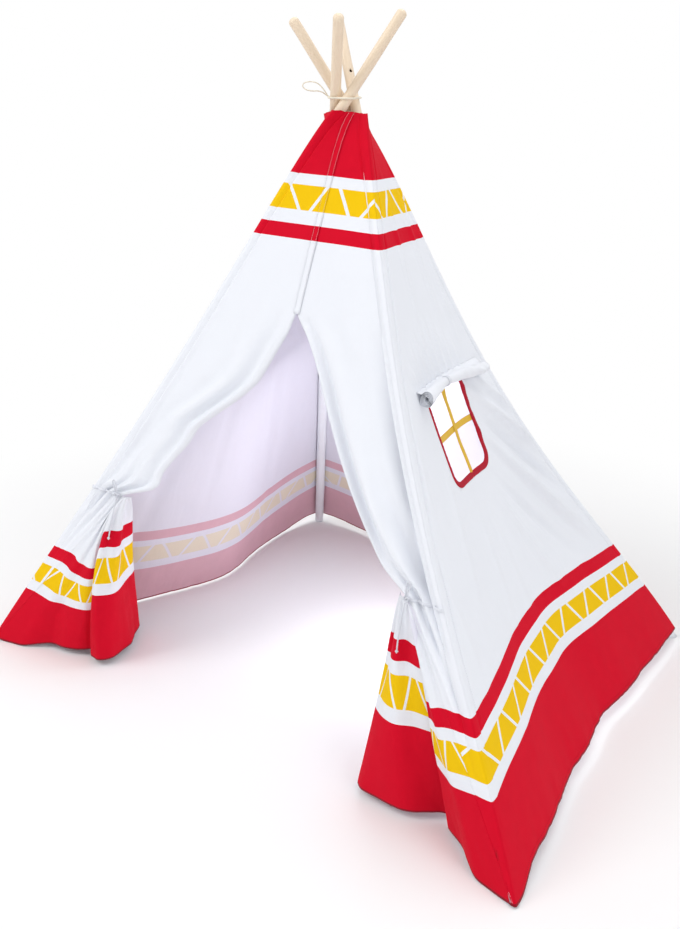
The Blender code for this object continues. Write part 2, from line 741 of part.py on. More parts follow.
def hang(name, place, nodes):
    """Empty on a hinge's axis that carries the pieces turning about it."""
    hinge = bpy.data.objects.new(name, None)
    hinge.location = place
    hinge.empty_display_size = POLE_RADIUS
    PARTS.objects.link(hinge)
    for node in nodes:
        piece = bpy.data.objects[node]
        piece.parent = hinge
        piece.matrix_parent_inverse = Matrix.Translation(-place)


def hang_all():
    for corner in CORNERS:
        pieces = [f"pole_{corner}_lower", f"pole_{corner}_upper", f"ferrule_{corner}", f"sleeve_{corner}"]
        hang(f"fold_hinge_{corner}", crossing(corner), pieces)
    hang("wall_hinge_back", APEX, ["wall_back"])
    hang("wall_hinge_left", APEX, ["wall_left"])
    hang("wall_hinge_right", APEX, ["wall_right", "window_binding", "window_ribbon_upright", "window_ribbon_level"])
    front = ["door_placket"]
    for side, name in SIDES:
        front += [f"door_{name}", f"door_tie_{name}", f"door_tie_knot_{name}", f"door_tie_loop_{name}"]
        tie = door_edge(side, up_share_at(DOOR_TIE_HEIGHT))[0]
        tail = [f"door_tail_{name}", f"door_tie_tail_{name}", f"door_tie_end_{name}"]
        hang(f"tail_hinge_{name}", tie, tail)
    hang("wall_hinge_front", APEX, front)
    hang("flap_hinge", window_point(FLAP_OFFSET, flap_frame()[0]), ["window_flap", "window_flap_strap"])


def main():
    build_lashing()
    for corner in CORNERS:
        build_pole(corner)
        build_sleeve(corner)
    build_walls()
    build_door()
    build_ties()
    build_window()
    build_flap()
    hang_all()


clear_scene()
PARTS = collection("kids_teepee")
CUTTERS = collection("cutters")
MATERIALS = {
    "wood": material("pale_wood", (0.80, 0.62, 0.44), 0.55),
    "steel": material("ferrule_steel", (0.62, 0.62, 0.60), 0.35, 1.0),
    "white_cloth": material("white_cotton", (0.86, 0.86, 0.88), 0.85),
    "red_cloth": material("red_cotton", (0.60, 0.02, 0.05), 0.80),
    "yellow_cloth": material("yellow_ribbon", (0.80, 0.55, 0.06), 0.70),
    "elastic": material("cream_elastic", (0.85, 0.80, 0.70), 0.75),
    "cord": material("white_cotton_cord", (0.84, 0.85, 0.86), 0.80),
}
main()
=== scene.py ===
"""Kids teepee, dressed: poles, printed cotton cover, door ties, window and lashing.

Metres, +Z up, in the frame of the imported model.  Cloth coordinates: u runs along
a wall from its middle, v up the slope from the floor, both in metres.
"""

from functools import cache
from itertools import accumulate
from math import copysign, cos, exp, hypot, pi, radians, sin, sqrt, tau

import bmesh
import bpy
from mathutils import Matrix, Vector, noise


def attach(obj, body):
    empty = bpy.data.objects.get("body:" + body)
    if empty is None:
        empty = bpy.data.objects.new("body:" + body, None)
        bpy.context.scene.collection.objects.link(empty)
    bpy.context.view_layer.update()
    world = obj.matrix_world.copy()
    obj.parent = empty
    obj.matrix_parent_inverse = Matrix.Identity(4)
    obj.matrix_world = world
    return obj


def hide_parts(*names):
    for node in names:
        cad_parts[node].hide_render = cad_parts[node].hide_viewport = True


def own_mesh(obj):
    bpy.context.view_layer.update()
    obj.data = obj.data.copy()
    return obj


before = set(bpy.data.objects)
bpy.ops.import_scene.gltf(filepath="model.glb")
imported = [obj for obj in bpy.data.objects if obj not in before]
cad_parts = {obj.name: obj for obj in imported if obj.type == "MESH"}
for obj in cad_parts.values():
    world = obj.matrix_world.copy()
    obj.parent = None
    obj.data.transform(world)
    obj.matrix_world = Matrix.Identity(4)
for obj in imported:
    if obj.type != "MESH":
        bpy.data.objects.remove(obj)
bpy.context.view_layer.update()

# Sizes repeated from the part.
FRONT_SPAN = 1.349
BACK_SPAN = 1.079
DEPTH = 1.010
CROSSING = Vector((-0.008, -0.096, 1.206))
POLE_LENGTH = 1.632
POLE_RADIUS = 0.0105
CROSSING_OFFSET = 0.0192
SLEEVE_RADIUS = 0.0123
SEAM_REACH = 0.01645
SLEEVE_TOP = 1.370
HEM_START = 0.031
CROWN_END = 1.424
DOOR_POINT_HEIGHT = 0.825
DOOR_TIE_HEIGHT = 0.402
DOOR_TIE_OUT = 0.367
DOOR_CORNER_LEAF = 0.010
CORNERS = ("front_left", "front_right", "back_right", "back_left")
WALLS = {
    "front": ("front_left", "front_right"),
    "right": ("front_right", "back_right"),
    "back": ("back_right", "back_left"),
    "left": ("back_left", "front_left"),
}
WALL_NAMES = tuple(WALLS)
SIDES = {"left": -1, "right": 1}
UP = Vector((0, 0, 1))

# Bend of each pole: how far its middle is bowed in, and swayed sideways.
POLE_BEND = {
    "front_left": (0.013, 0.004),
    "front_right": (0.031, -0.021),
    "back_right": (0.058, 0.008),
    "back_left": (0.004, 0.003),
}

# Hang of each wall: how far its hem and its body sag in, and the depth and number of its hem folds.
WALL_SAG = {
    "right": (0.030, 0.012, 0.005, 4),
    "back": (0.060, 0.016, 0.008, 4),
    "left": (0.115, 0.018, 0.008, 3),
    "front": (0.0, 0.0, 0.0, 1),
}
BODY_SAG_SCALE = 4**4 / 3**3
HEM_FOLD_TOP = 0.42

# Camera of the photograph.
CAMERA_TARGET = Vector((0.0216, -0.1322, 0.4964))
CAMERA_AZIMUTH = radians(37.39)
CAMERA_ELEVATION = radians(20.70)
CAMERA_ROLL = radians(0.98)
CAMERA_DISTANCE = 2.278
CAMERA_LENS = 42.63
CAMERA_SENSOR = 36

# Print on the cloth, as heights up the slope.
HEM_RED_TOP = 0.173
LOW_YELLOW = (0.197, 0.249)
LOW_STRIPE = (0.270, 0.302)
HIGH_STRIPE = (1.148, 1.180)
HIGH_YELLOW = (1.210, 1.264)
CROWN_RED = (1.288, 2.0)
ZIGZAG_PERIOD = 0.108
ZIGZAG_RUN = 0.029
ZIGZAG_LINE = 0.0075
FRONT_PRINT_START = -0.035

# Cloth.
CLOTH = 0.0009
SEAM_GAP = 0.0002
TINY = 1e-9


# Small sums.


def clamp(value):
    return min(max(value, 0), 1)


def eased(share):
    """0 to 1, level at both ends."""
    share = clamp(share)
    return share * share * (3 - 2 * share)


def bell(distance, width):
    """1 at no distance, falling off to both sides."""
    return exp(-((distance / width) ** 2))


def steps(count, low=0, high=1):
    return [low + (high - low) * i / count for i in range(count + 1)]


def smooth(points, share):
    """Point at a share of a smooth path through the points."""
    place = clamp(share) * (len(points) - 1)
    i = min(int(place), len(points) - 2)
    t = place - i
    p0, p1, p2, p3 = (points[min(max(k, 0), len(points) - 1)] for k in range(i - 1, i + 3))
    bend = 2 * p0 - 5 * p1 + 4 * p2 - p3
    return (2 * p1 + (p2 - p0) * t + bend * t**2 + (3 * p1 - p0 - 3 * p2 + p3) * t**3) / 2


def path_length(points):
    return sum((b - a).length for a, b in zip(points, points[1:]))


def uneven(*place):
    """Random height at a place, from -1 to 1 and the same on each run."""
    return noise.noise(Vector(place))


def make_camera():
    az, el, roll = CAMERA_AZIMUTH, CAMERA_ELEVATION, CAMERA_ROLL
    back = Vector((sin(az) * cos(el), -cos(az) * cos(el), sin(el)))
    right = Vector((cos(az), sin(az), 0))
    up = back.cross(right)
    camera = bpy.data.objects.new("camera", bpy.data.cameras.new("camera"))
    bpy.context.scene.collection.objects.link(camera)
    camera.data.lens = CAMERA_LENS
    camera.data.sensor_width = camera.data.sensor_height = CAMERA_SENSOR
    camera.data.sensor_fit = "VERTICAL"
    turn = Matrix((right * cos(roll) + up * sin(roll), up * cos(roll) - right * sin(roll), back))
    place = Matrix.Translation(CAMERA_TARGET + back * CAMERA_DISTANCE)
    camera.matrix_world = place @ turn.transposed().to_4x4()
    bpy.context.scene.camera = camera


# Geometry of poles and cover, as in the part.


@cache
def foot(corner):
    x, y = (FRONT_SPAN, -DEPTH) if corner.startswith("front") else (BACK_SPAN, DEPTH)
    return Vector((-x if corner.endswith("left") else x, y, 0)) / 2


@cache
def radial(corner):
    return (foot(corner) - CROSSING).to_2d().to_3d().normalized()


@cache
def tangent(corner):
    return UP.cross(radial(corner))


@cache
def crossing(corner):
    return CROSSING + CROSSING_OFFSET * tangent(corner)


SLANTS = {corner: (crossing(corner) - foot(corner)).length for corner in CORNERS}
SLANT = sum(SLANTS.values()) / len(SLANTS)


def slope_at(up_share):
    return HEM_START + (CROWN_END - HEM_START) * up_share


def up_share_at(height):
    return (height * SLANT / CROSSING.z - HEM_START) / (CROWN_END - HEM_START)


TIE_SHARE = up_share_at(DOOR_TIE_HEIGHT)
POINT_SHARE = up_share_at(DOOR_POINT_HEIGHT)


def pole_point(corner, distance):
    """Point of a pole's bowed axis by its distance from the foot."""
    share = clamp(distance / SLANTS[corner])
    direction = (crossing(corner) - foot(corner)).normalized()
    inward, sideways = POLE_BEND[corner]
    bow = sideways * tangent(corner) - inward * radial(corner)
    return foot(corner) + direction * distance + bow * 16 * share**2 * (1 - share) ** 2


@cache
def wall_normal(wall):
    start, end = (foot(c) for c in WALLS[wall])
    return (end - start).cross(CROSSING - start).normalized()


@cache
def level_normal(wall):
    return wall_normal(wall).to_2d().to_3d().normalized()


@cache
def corner_curve(corner, up_share):
    """Seam point, and where the walls before and after leave the curve round the pole."""
    i = CORNERS.index(corner)
    spots = [pole_point(c, slope_at(up_share)) for c in (CORNERS[i - 1], corner, CORNERS[(i + 1) % 4])]
    one, two = ((b - a).cross(UP).normalized() for a, b in zip(spots, spots[1:]))
    near, far = (SEAM_REACH / wall_normal(WALL_NAMES[k]).to_2d().length for k in (i - 1, i))
    across = one.x * two.y - one.y * two.x
    x = (near * two.y - far * one.y) / across
    y = (far * one.x - near * two.x) / across
    return spots[1] + Vector((x, y, 0)), spots[1] + one * near, spots[1] + two * far


@cache
def wall_ends(wall, up_share):
    return tuple(corner_curve(corner, up_share)[0] for corner in WALLS[wall])


def wall_width(wall, up_share):
    first, last = wall_ends(wall, up_share)
    return (last - first).length


def wall_sag(wall, along_share, up_share):
    """How far the cloth hangs in from the flat wall."""
    hem_sag, body_sag, fold, count = WALL_SAG[wall]
    down = 1 - up_share
    sag = hem_sag * down**2 + body_sag * BODY_SAG_SCALE * up_share * down**3
    fold *= max(0.0, 1 - up_share / HEM_FOLD_TOP) ** 2 * sin(tau * count * along_share)
    return sin(pi * clamp(along_share)) ** 2.5 * (sag + fold)


# Soft folds pressed in the cloth of each wall, in millimetres: start u and v, end u and v, half width, and
# height outward.  The right wall's first eight are the gathers over the window, which its rolled flap lies on.
GATHERS = 8
FOLDS = {
    "right": (
        (-115, 814, -145, 920, 6.6, 6.5), (-90, 813, -118, 940, 6.6, 8.0), (-62, 812, -85, 960, 6.6, 8.8),
        (-34, 812, -50, 970, 6.6, 9.2), (-6, 812, -14, 975, 6.6, 8.8), (24, 812, 20, 970, 6.6, 8.0),
        (54, 813, 52, 950, 6.8, 7.0), (86, 814, 80, 925, 6.8, 6.0),
        (100, 790, 430, 470, 15, 21), (95, 740, 380, 400, 14, -17), (90, 690, 340, 350, 13, 19),
        (120, 830, 360, 600, 12, 14), (70, 600, 240, 330, 12, -12), (40, 580, 130, 330, 11, 10),
        (-290, 640, -330, 330, 13, 8), (-180, 950, -260, 560, 12, 6), (-50, 560, -110, 330, 12, 4),
        (0, 550, -20, 320, 11, 4.5), (40, 550, 80, 330, 11, 4.5), (-120, 700, -220, 420, 13, 5),
        (-150, 950, -120, 1250, 8, 3.5), (-30, 980, -20, 1300, 8, 4), (70, 960, 40, 1280, 8, 4),
        (120, 900, 90, 1180, 9, 4),
    ),
    "back": (
        (-300, 100, -120, 800, 20, 7), (280, 100, 100, 800, 20, 7), (50, 80, 30, 700, 22, -8),
        (-80, 500, -20, 1150, 14, 4), (120, 560, 40, 1200, 12, 4),
    ),
    "left": (
        (-220, 120, -80, 900, 22, 3), (240, 120, 80, 900, 22, 6), (60, 300, 20, 1100, 16, 4),
        (-90, 400, -30, 1150, 14, 3),
    ),
    "front": (),
}
FOLDS = {wall: [[number / 1000 for number in fold] for fold in folds] for wall, folds in FOLDS.items()}
FOLD_TAPER = 0.12


def crease(folds, u, v):
    """Outward step of the cloth from its soft folds, and a faint unevenness that grows at the hem."""
    step = 0.0011 * uneven(u * 9, v * 9, 3.7) + 0.0006 * uneven(u * 26, v * 26, 8.1)
    hem = 0.0022 * uneven(u * 34, v * 10, 1.3) + 0.0012 * uneven(u * 75, v * 16, 6.2)
    step += bell(v - HEM_START, 0.085) * hem
    for u0, v0, u1, v1, width, height in folds:
        run, rise = u1 - u0, v1 - v0
        length = hypot(run, rise)
        share = ((u - u0) * run + (v - v0) * rise) / length**2
        if -FOLD_TAPER < share < 1 + FOLD_TAPER:
            aside = ((u - u0) * rise - (v - v0) * run) / length
            taper = sin(pi * (share + FOLD_TAPER) / (1 + 2 * FOLD_TAPER)) ** 1.2
            step += height * taper * bell(aside / width, 0.6 + 0.8 * share)
    return step


def wall_point(wall, along_share, up_share, out=0.0, gathered=True):
    """Point of the flat part of a wall's cloth, with its sag and folds; the folds fade towards its corners."""
    first, last = wall_ends(wall, up_share)
    u = (along_share - 0.5) * wall_width(wall, up_share)
    folds = FOLDS[wall] if gathered else FOLDS[wall][GATHERS:]
    step = crease(folds, u, slope_at(up_share)) * eased(min(along_share, 1 - along_share) / 0.10)
    inward = wall_sag(wall, along_share, up_share) - step
    return first.lerp(last, along_share) + wall_normal(wall) * out - level_normal(wall) * inward


def corner_point(corner, up_share, after, turn):
    """Point of the cloth round a pole: turn 0 at the middle of the curve, 1 where the wall goes on straight."""
    seam, start, end = corner_curve(corner, up_share)
    if not after:
        start, end = end, start
    t = 0.5 + turn / 2
    pull = 2.4 + 2.6 * max(1 - up_share, 0) ** 3
    a, b, c = (1 - t) ** 2, 2 * pull * t * (1 - t), t**2
    return (start * a + seam * b + end * c) / (a + b + c)


def along_share_at(wall, up_share, place):
    """Share of the seam-to-seam length at a place on the straight part of a wall."""
    first, last = (corner_curve(corner, up_share) for corner in WALLS[wall])
    length = wall_width(wall, up_share)
    leave = (first[2] - first[0]).length / length
    arrive = 1 - (last[1] - last[0]).length / length
    return leave + (arrive - leave) * place


def groove(near, up_share, depth=0.0036, place=0.0040, width=0.0032):
    """Depth of the stitched groove where the cloth leaves the sleeve; the hem has none."""
    return depth * bell(near - place, width) * clamp((up_share - 0.10) / 0.2)


def door_groove(name, near, up_share):
    """The same groove on a door half, deeper on the right, where the cloth is drawn in beside the pole."""
    deep = 0 if name == "left" else 1 - eased((up_share - 0.62) / 0.08)
    return groove(near, up_share, 0.0080, 0.0090, 0.0048) * deep + groove(near, up_share) * (1 - deep)


def wall_column(wall, up_share, place):
    """Point of a whole wall from corner curve to corner curve; place runs from -1 over 0 and 1 to 2."""
    first, last = WALLS[wall]
    if place < 0:
        return corner_point(first, up_share, True, 1 + place)
    if place > 1:
        return corner_point(last, up_share, False, 2 - place)
    near = min(place, 1 - place) * (foot(last) - foot(first)).length * (1 - 0.9 * up_share)
    return wall_point(wall, along_share_at(wall, up_share, place), up_share, -groove(near, up_share))


# Modelling helpers.

PIECES = []


def finished(name, form, looks, body, nodes=()):
    """Object of a built form, riding its body in place of the part's nodes."""
    mesh = bpy.data.meshes.new(name)
    form.to_mesh(mesh)
    form.free()
    for look in looks:
        mesh.materials.append(MATERIALS[look])
    made = bpy.data.objects.new(name, mesh)
    bpy.context.scene.collection.objects.link(made)
    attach(made, body)
    if nodes:
        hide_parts(*nodes)
    PIECES.append((made, body))
    return made


def thicken(made, thickness, offset=0):
    solid = made.modifiers.new("thickness", "SOLIDIFY")
    solid.thickness = thickness
    solid.offset = offset
    if len(made.data.materials) > 1:
        solid.material_offset = 1


def cloth(name, points, uvs, body, looks, node, thickness=CLOTH):
    """Sheet from rows of points and cloth coordinates; further looks are its inside and its hem row, which the cover
    paints dark red as the shade of a rolled hem.
    """
    form = bmesh.new()
    layer = form.loops.layers.uv.new("Cloth")
    grid = [[form.verts.new(p) for p in row] for row in points]
    for r in range(len(grid) - 1):
        for c in range(len(grid[0]) - 1):
            spots = ((r, c), (r, c + 1), (r + 1, c + 1), (r + 1, c))
            face = form.faces.new([grid[i][j] for i, j in spots])
            for loop, (i, j) in zip(face.loops, spots):
                loop[layer].uv = uvs[i][j]
            face.smooth = True
            # The first row takes the hem look: on the cover, painted shade of a rolled hem.
            face.material_index = 2 if len(looks) > 2 and r == 0 else 0
    made = finished(name, form, looks, body, [node])
    thicken(made, thickness)
    return made


def rings(path, radius, sides, aside, closed=False):
    """Rings of points round a path; radius may depend on ring and angle."""
    made = []
    x = aside
    for k, middle in enumerate(path):
        if closed:
            way = (path[(k + 1) % len(path)] - path[k - 1]).normalized()
        else:
            way = (path[min(k + 1, len(path) - 1)] - path[max(k - 1, 0)]).normalized()
        x = (x - way * way.dot(x)).normalized()
        y = way.cross(x)
        ring = []
        for i in range(sides):
            angle = tau * i / sides
            r = radius(k, angle) if callable(radius) else radius
            ring.append(middle + (x * cos(angle) + y * sin(angle)) * r)
        made.append(ring)
    return made


def shell(name, loops, look, body, nodes, caps=(True, True), closed=False):
    """Body through rings of points, with a UV layer of length round and along, in metres."""
    form = bmesh.new()
    layer = form.loops.layers.uv.new("Cloth")
    grid = [[form.verts.new(p) for p in loop] for loop in loops]
    count = len(loops[0])
    run = 0.0
    for r in range(len(grid) - (0 if closed else 1)):
        q = (r + 1) % len(grid)
        step = (loops[q][0] - loops[r][0]).length
        width = (loops[r][1] - loops[r][0]).length
        for c in range(count):
            d = (c + 1) % count
            face = form.faces.new((grid[r][c], grid[r][d], grid[q][d], grid[q][c]))
            face.smooth = True
            for loop, (along, up) in zip(face.loops, ((c, 0), (c + 1, 0), (c + 1, 1), (c, 1))):
                loop[layer].uv = (along * width, run + up * step)
        run += step
    if caps[0] and not closed:
        form.faces.new(list(reversed(grid[0])))
    if caps[1] and not closed:
        form.faces.new(grid[-1])
    return finished(name, form, [look], body, nodes)


STITCH_LENGTH = 0.0024
STITCH_WIDTH = 0.0005


def stitches(name, path, normal, body, look="thread", pitch=0.0034):
    """A run of single stitches along a path, each a slim raised lozenge."""
    form = bmesh.new()
    travelled, spots = 0.0, []
    for a, b in zip(path, path[1:]):
        step = (b - a).length
        while step > TINY and travelled < step:
            spots.append((a.lerp(b, travelled / step), (b - a) / step))
            travelled += pitch
        travelled -= step
    for middle, way in spots:
        aside = way.cross(normal).normalized() * STITCH_WIDTH
        ends = [form.verts.new(middle + way * s * STITCH_LENGTH / 2) for s in (-1, 1)]
        ring = [form.verts.new(middle + aside * x + normal * z * STITCH_WIDTH)
                for x, z in ((-1, 0), (0, 1), (1, 0), (0, -1))]
        for i in range(4):
            j = (i + 1) % 4
            form.faces.new((ends[0], ring[j], ring[i]))
            form.faces.new((ends[1], ring[i], ring[j]))
    finished(name, form, [look], body).data.shade_smooth()


# Materials.


class Nodes:
    """Short way to write the node tree of a material or the world."""

    def __init__(self, owner, shader="Principled BSDF"):
        owner.use_nodes = True
        self.owner = owner
        self.tree = owner.node_tree
        self.shader = self.tree.nodes[shader]

    def feed(self, socket, value):
        if isinstance(value, bpy.types.NodeSocket):
            self.tree.links.new(value, socket)
        else:
            socket.default_value = value

    def add(self, kind, *inputs, **values):
        node = self.tree.nodes.new(kind)
        for key, value in values.items():
            if key in node.inputs:
                self.feed(node.inputs[key], value)
            else:
                setattr(node, key, value)
        for socket, value in zip(node.inputs, inputs):
            self.feed(socket, value)
        return node

    def math(self, operation, *inputs):
        return self.add("ShaderNodeMath", *inputs, operation=operation).outputs[0]

    def times(self, a, b):
        return self.math("MULTIPLY", a, b)

    def mix(self, share, a, b, blend="MIX"):
        node = self.add("ShaderNodeMix", share, data_type="RGBA", blend_type=blend)
        self.feed(node.inputs[6], a)
        self.feed(node.inputs[7], b)
        return node.outputs[2]

    def toned(self, color, dark, share, amount):
        """The colour, and towards a darker tone of it by a share of the amount."""
        return self.mix(self.times(share, amount), color, (*(dark * c for c in color[:3]), 1))

    def noise(self, vector, scale, detail=3.0, roughness=0.5):
        node = self.add("ShaderNodeTexNoise", Vector=vector, Scale=scale, Detail=detail, Roughness=roughness)
        return node.outputs["Fac"]

    def scaled(self, vector, *scale):
        return self.add("ShaderNodeMapping", Vector=vector, Scale=scale).outputs[0]

    def on_cloth(self):
        return self.add("ShaderNodeUVMap", uv_map="Cloth").outputs[0]

    def on_object(self):
        return self.add("ShaderNodeTexCoord").outputs["Object"]

    def split(self, vector):
        return self.add("ShaderNodeSeparateXYZ", vector).outputs[:2]

    def set(self, **values):
        for key, value in values.items():
            self.feed(self.shader.inputs[key.replace("_", " ")], value)

    def bump(self, height, strength, distance):
        node = self.add("ShaderNodeBump", Height=height, Strength=strength, Distance=distance)
        self.set(Normal=node.outputs[0])

    def blend(self, share, first, second, output):
        """Feed the tree's output with two shaders."""
        mix = self.add("ShaderNodeMixShader", share, first.outputs[0], second.outputs[0])
        self.tree.links.new(mix.outputs[0], self.tree.nodes[output].inputs[0])


def within(nodes, value, band):
    """1 where the value lies in the band."""
    return nodes.times(nodes.math("GREATER_THAN", value, band[0]), nodes.math("LESS_THAN", value, band[1]))


def zigzag(nodes, u, v, band):
    """White lines that run up and down across a yellow band, flat where they turn."""
    level = (ZIGZAG_PERIOD - 2 * ZIGZAG_RUN) / 2
    share = nodes.math("DIVIDE", nodes.math("SUBTRACT", v, band[0]), band[1] - band[0])
    place = nodes.math("WRAP", u, ZIGZAG_PERIOD, 0.0)
    away = []
    for run, start in ((ZIGZAG_RUN, level / 2), (-ZIGZAG_RUN, level * 1.5 + 2 * ZIGZAG_RUN)):
        line = nodes.math("MULTIPLY_ADD", share, run, start)
        away.append(nodes.math("ABSOLUTE", nodes.math("SUBTRACT", place, line)))
    return nodes.math("LESS_THAN", nodes.math("MINIMUM", *away), ZIGZAG_LINE / 2)


def weave(nodes, u, v, pitch):
    """Threads along u and v, over and under in turn."""
    warp, weft = (nodes.math("SINE", nodes.times(way, tau / pitch)) for way in (u, v))
    return nodes.math("MULTIPLY_ADD", nodes.times(warp, weft), 0.5, 0.5)


def printed_cotton(name, white, red, yellow):
    """Cotton canvas with the printed bands at their heights up the slope."""
    nodes = Nodes(bpy.data.materials.new(name))
    uv = nodes.on_cloth()
    u, v = nodes.split(uv)
    mottle = nodes.noise(uv, 34.0, 4.0)
    reds = nodes.math("LESS_THAN", v, HEM_RED_TOP)
    for band in (LOW_STRIPE, HIGH_STRIPE, CROWN_RED):
        reds = nodes.math("ADD", reds, within(nodes, v, band))
    color = nodes.mix(reds, nodes.toned(white, 0.86, mottle, 0.10), nodes.toned(red, 0.72, mottle, 0.35))
    for band in (LOW_YELLOW, HIGH_YELLOW):
        dyed = nodes.math("SUBTRACT", 1.0, zigzag(nodes, u, v, band))
        color = nodes.mix(nodes.times(within(nodes, v, band), dyed), color, yellow)
    threads = weave(nodes, u, v, 0.0016)
    color = nodes.mix(nodes.times(threads, 0.20), color, (0.72, 0.72, 0.76, 1), "MULTIPLY")
    nodes.set(Base_Color=color, Roughness=0.82, Sheen_Weight=0.01, Sheen_Roughness=0.5, Specular_IOR_Level=0.12)
    wrinkle = nodes.noise(nodes.scaled(uv, 1.0, 0.45, 1.0), 22.0, 4.0, 0.55)
    nodes.bump(nodes.math("MULTIPLY_ADD", threads, 0.06, wrinkle), 0.50, 0.004)
    return nodes.owner


def plain_cotton(name, color, dark=0.75, pitch=0.0014, roughness=0.80):
    """Unprinted cotton in one dye, with its weave and faint unevenness."""
    nodes = Nodes(bpy.data.materials.new(name))
    place = nodes.on_object()
    mottle = nodes.noise(place, 60.0, 4.0)
    nodes.set(Base_Color=nodes.toned(color, dark, mottle, 0.35), Roughness=roughness)
    nodes.set(Sheen_Weight=0.05, Specular_IOR_Level=0.2)
    fine = nodes.noise(place, 1.0 / pitch, 2.0)
    nodes.bump(nodes.math("MULTIPLY_ADD", fine, 0.25, mottle), 0.4, 0.0012)
    return nodes.owner


def pale_wood(name, turned=True):
    """Peeled, sanded wood: long grain along the pole, small darker knots and a soft varnish."""
    nodes = Nodes(bpy.data.materials.new(name))
    place = nodes.on_cloth() if turned else nodes.on_object()
    long = nodes.scaled(place, *((1.0, 0.06, 1.0) if turned else (1.0, 1.0, 0.10)))
    grain = nodes.noise(long, 240.0, 6.0, 0.62)
    color = nodes.mix(nodes.noise(long, 22.0, 3.0), (0.80, 0.65, 0.48, 1), (0.88, 0.77, 0.62, 1))
    color = nodes.mix(nodes.times(grain, 0.42), color, (0.62, 0.43, 0.27, 1))
    knots = nodes.add("ShaderNodeTexVoronoi", Vector=place, Scale=13.0).outputs["Distance"]
    color = nodes.mix(nodes.math("LESS_THAN", knots, 0.030), color, (0.30, 0.17, 0.09, 1))
    nodes.set(Base_Color=color, Roughness=0.46, Coat_Weight=0.12, Coat_Roughness=0.35)
    nodes.bump(grain, 0.12, 0.0005)
    return nodes.owner


def brushed_steel(name):
    nodes = Nodes(bpy.data.materials.new(name))
    fine = nodes.noise(nodes.on_object(), 900.0, 2.0)
    nodes.set(Base_Color=(0.62, 0.62, 0.60, 1), Metallic=1.0)
    nodes.set(Roughness=nodes.math("MULTIPLY_ADD", fine, 0.2, 0.22))
    return nodes.owner


def braided(name, color, pitch):
    """Braided cord: strands that cross on a slant."""
    nodes = Nodes(bpy.data.materials.new(name))
    u, v = nodes.split(nodes.on_cloth())
    strand = weave(nodes, nodes.math("ADD", u, v), nodes.math("SUBTRACT", u, v), pitch)
    nodes.set(Base_Color=nodes.toned(color, 0.6, strand, 0.30), Roughness=0.72, Sheen_Weight=0.1)
    nodes.bump(strand, 0.5, 0.0005)
    return nodes.owner


WHITE = (0.83, 0.85, 0.90, 1)
RED = (0.68, 0.001, 0.020, 1)
YELLOW = (0.86, 0.54, 0.002, 1)
# Inside of the cover: the print showing through the cotton, paler, with painted light that stands in for light shining
# through the cloth.
INSIDE_PRINT_AND_PAINTED_LIGHT = (0.79, 0.78, 0.87, 1), (0.76, 0.47, 0.54, 1), (0.81, 0.73, 0.60, 1)
MATERIALS = {name: make(name, *values) for name, make, *values in (
    ("cotton_outside", printed_cotton, WHITE, RED, YELLOW),
    ("cotton_inside", printed_cotton, *INSIDE_PRINT_AND_PAINTED_LIGHT),
    ("cotton_white", plain_cotton, WHITE, 0.90),
    # Dark red for the hem row: painted shade of a rolled hem on the red cloth, not a cloth of its own.
    ("cotton_hem", plain_cotton, (0.30, 0.004, 0.016, 1)),
    ("cotton_red", plain_cotton, (0.42, 0.004, 0.020, 1)),
    ("ribbon_gold", plain_cotton, (0.72, 0.44, 0.03, 1), 0.8, 0.0010, 0.5),
    # White tape of the ties and the window strap, greyed as painted shade.
    ("tape_white", plain_cotton, (0.76, 0.78, 0.84, 1), 0.85, 0.0009),
    ("thread", plain_cotton, (0.62, 0.63, 0.68, 1), 0.85, 0.0006),
    ("thread_red", plain_cotton, (0.36, 0.004, 0.018, 1), 0.85, 0.0006),
    # White braided cord of the ties, greyed as painted shade.
    ("cord_white", braided, (0.70, 0.72, 0.78, 1), 0.0022),
    ("elastic", braided, (0.86, 0.80, 0.66, 1), 0.0026),
    ("wood", pale_wood),
    ("wood_inside", pale_wood, False),
    # Near black for the walls of the cord holes: painted shade in the recess.
    ("wood_dark", plain_cotton, (0.16, 0.09, 0.05, 1)),
    ("steel", brushed_steel),
)}


# Cover: walls, door, tails, placket and sleeves.

CURVE_COLUMNS = 6
WALL_COLUMNS = 84
WALL_ROWS = 112
EDGE_ROW = 0.0030
BESIDE_POLE = (0.0, 0.0025, 0.005, 0.008, 0.012, 0.017, 0.024)
WALL_MIDDLE = (0.032, 0.968)
# The hem looks, outside and inside, paint the shade of a rolled hem.
COVER_LOOKS = ("cotton_outside", "cotton_inside", "cotton_hem", "cotton_hem")
PRINT_START = {"right": 0.0475, "back": 0.0, "left": 0.0}

# How far the printed bands rise (or sink) towards the middle of a wall, and how far its corners hang below the hem.
PRINT_RISE = {"right": 0.028, "back": -0.016, "left": -0.036}
HEM_DROP = {"right": 0.002, "back": 0.010, "left": 0.017}
CORNER_DROP = {"front_left": 0.0188, "front_right": 0.0188, "back_right": 0.004, "back_left": 0.002}
HEM_DROP_TOP = 0.12


def row_shares(rows):
    """Heights of the rows: even, with two close together at the hem and at the crown."""
    return [0.0] + steps(rows - 3, EDGE_ROW, 1 - EDGE_ROW) + [1.0]


def curve_turns():
    """Turns of the columns on a corner curve, from a hair beside its middle to where the wall begins."""
    return steps(CURVE_COLUMNS, SEAM_GAP / SEAM_REACH, 1)[:-1]


def wall_places():
    """Places across a wall, close together on the two corner curves and beside them."""
    start = [turn - 1 for turn in curve_turns()] + list(BESIDE_POLE)
    return start + steps(WALL_COLUMNS, *WALL_MIDDLE) + [1 - place for place in reversed(start)]


